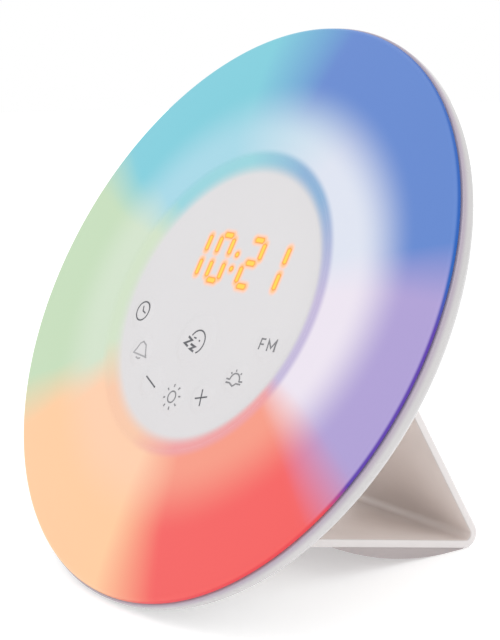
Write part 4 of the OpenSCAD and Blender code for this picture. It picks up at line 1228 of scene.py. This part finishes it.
def make_lights():
    area_light("key_light", azimuth=20, elevation=60, distance=1.4, size=0.9, watts=2.2)
    area_light("fill_light", azimuth=72, elevation=8, distance=1.5, size=1.1, watts=3.4)
    drop_selection()
    bpy.ops.object.light_add(type="SUN", location=(0, 0, 1))
    sun = name_it(bpy.context.object, "sky_light")
    sun.data.energy = 0.5
    sun.data.angle = math.radians(120)
    world = bpy.data.worlds.new("studio")
    bpy.context.scene.world = world
    world.use_nodes = True
    sky = world.node_tree.nodes["Background"]
    sky.inputs["Color"].default_value = (1, 1, 1, 1)
    sky.inputs["Strength"].default_value = 1.0


PHOTO_W, PHOTO_H = 500, 640
LENS_PX = 1500.0
FACE_AT_PX = (215.43, 301.82)
# The photo's middle of the face lies this far behind the cover's edge, in millimetres
AIM_DEPTH = 1.2
CAMERA_DISTANCE = 0.416
SENSOR = 36
CAMERA_AZIMUTH, CAMERA_ELEVATION = math.radians(54.69), math.radians(9.40)


def make_camera():
    c = Vector((
        math.sin(CAMERA_AZIMUTH) * math.cos(CAMERA_ELEVATION),
        -math.cos(CAMERA_AZIMUTH) * math.cos(CAMERA_ELEVATION),
        math.sin(CAMERA_ELEVATION),
    ))
    drop_selection()
    bpy.ops.object.camera_add(location=at(0, 0, -AIM_DEPTH) + c * CAMERA_DISTANCE)
    camera = name_it(bpy.context.object, "camera")
    camera.rotation_euler = (-c).to_track_quat("-Z", "Y").to_euler()
    camera.data.sensor_width = SENSOR
    camera.data.lens = SENSOR * LENS_PX / PHOTO_H
    camera.data.shift_x = (PHOTO_W / 2 - FACE_AT_PX[0]) / PHOTO_H
    camera.data.shift_y = -(PHOTO_H / 2 - FACE_AT_PX[1]) / PHOTO_H
    camera.data.clip_start = 0.01
    camera.data.clip_end = 20
    bpy.context.scene.camera = camera
    bpy.context.scene.view_settings.view_transform = "Standard"


# ---- Operators -----------------------------------------------------------------------------------
class CLOCK_OT_cover(bpy.types.Operator):
    """Build the glowing cover with its panel and touch spots"""

    bl_idname = "clock.cover"
    bl_label = "Light cover"

    def execute(self, context):
        make_cover()
        return {"FINISHED"}


class CLOCK_OT_symbols(bpy.types.Operator):
    """Print the symbols on the touch spots"""

    bl_idname = "clock.symbols"
    bl_label = "Key symbols"

    def execute(self, context):
        make_symbols()
        return {"FINISHED"}


class CLOCK_OT_digits(bpy.types.Operator):
    """Light the digits in the panel"""

    bl_idname = "clock.digits"
    bl_label = "Lit digits"

    def execute(self, context):
        make_digits()
        return {"FINISHED"}


class CLOCK_OT_shell(bpy.types.Operator):
    """Build the rear shell with its grille, battery well and stand seat"""

    bl_idname = "clock.shell"
    bl_label = "Rear shell"

    def execute(self, context):
        make_seat(make_shell())
        return {"FINISHED"}


class CLOCK_OT_door(bpy.types.Operator):
    """Build the sliding battery door"""

    bl_idname = "clock.door"
    bl_label = "Battery door"

    def execute(self, context):
        make_door()
        return {"FINISHED"}


class CLOCK_OT_socket(bpy.types.Operator):
    """Build the power socket and the aerial's gland"""

    bl_idname = "clock.socket"
    bl_label = "Power socket"

    def execute(self, context):
        make_socket()
        return {"FINISHED"}


class CLOCK_OT_stand(bpy.types.Operator):
    """Build the loop stand and its foot strip"""

    bl_idname = "clock.stand"
    bl_label = "Loop stand"

    def execute(self, context):
        make_stand()
        make_foot()
        return {"FINISHED"}


class CLOCK_OT_inner_parts(bpy.types.Operator):
    """Give every part inside its finish"""

    bl_idname = "clock.inner_parts"
    bl_label = "Inner parts"

    def execute(self, context):
        dress_nodes()
        return {"FINISHED"}


class CLOCK_OT_stage(bpy.types.Operator):
    """Set up the floor, the lights and the camera"""

    bl_idname = "clock.stage"
    bl_label = "Stage"

    def execute(self, context):
        make_floor()
        make_lights()
        make_camera()
        return {"FINISHED"}


class CLOCK_PT_panel(bpy.types.Panel):
    """The clock's pieces, sizes and colours"""

    bl_idname = "CLOCK_PT_panel"
    bl_label = "Clock"
    bl_space_type = "VIEW_3D"
    bl_region_type = "UI"
    bl_category = "Clock"

    def draw(self, context):
        for step in STEPS:
            self.layout.operator(step.bl_idname)
        for group in (context.scene.clock_sizes, context.scene.clock_tints):
            for name in group.__annotations__:
                self.layout.prop(group, name)


STEPS = (
    CLOCK_OT_cover, CLOCK_OT_symbols, CLOCK_OT_digits, CLOCK_OT_shell, CLOCK_OT_door, CLOCK_OT_socket,
    CLOCK_OT_stand, CLOCK_OT_inner_parts, CLOCK_OT_stage,
)
CLASSES = (ClockSizes, ClockTints) + STEPS + (CLOCK_PT_panel,)


def register():
    for cls in CLASSES:
        bpy.utils.register_class(cls)
    bpy.types.Scene.clock_sizes = bpy.props.PointerProperty(type=ClockSizes)
    bpy.types.Scene.clock_tints = bpy.props.PointerProperty(type=ClockTints)


def unregister():
    del bpy.types.Scene.clock_sizes
    del bpy.types.Scene.clock_tints
    for cls in reversed(CLASSES):
        bpy.utils.unregister_class(cls)


def main():
    register()
    for step in STEPS:
        group, name = step.bl_idname.split(".")
        getattr(getattr(bpy.ops, group), name)()


if __name__ == "__main__":
    main()
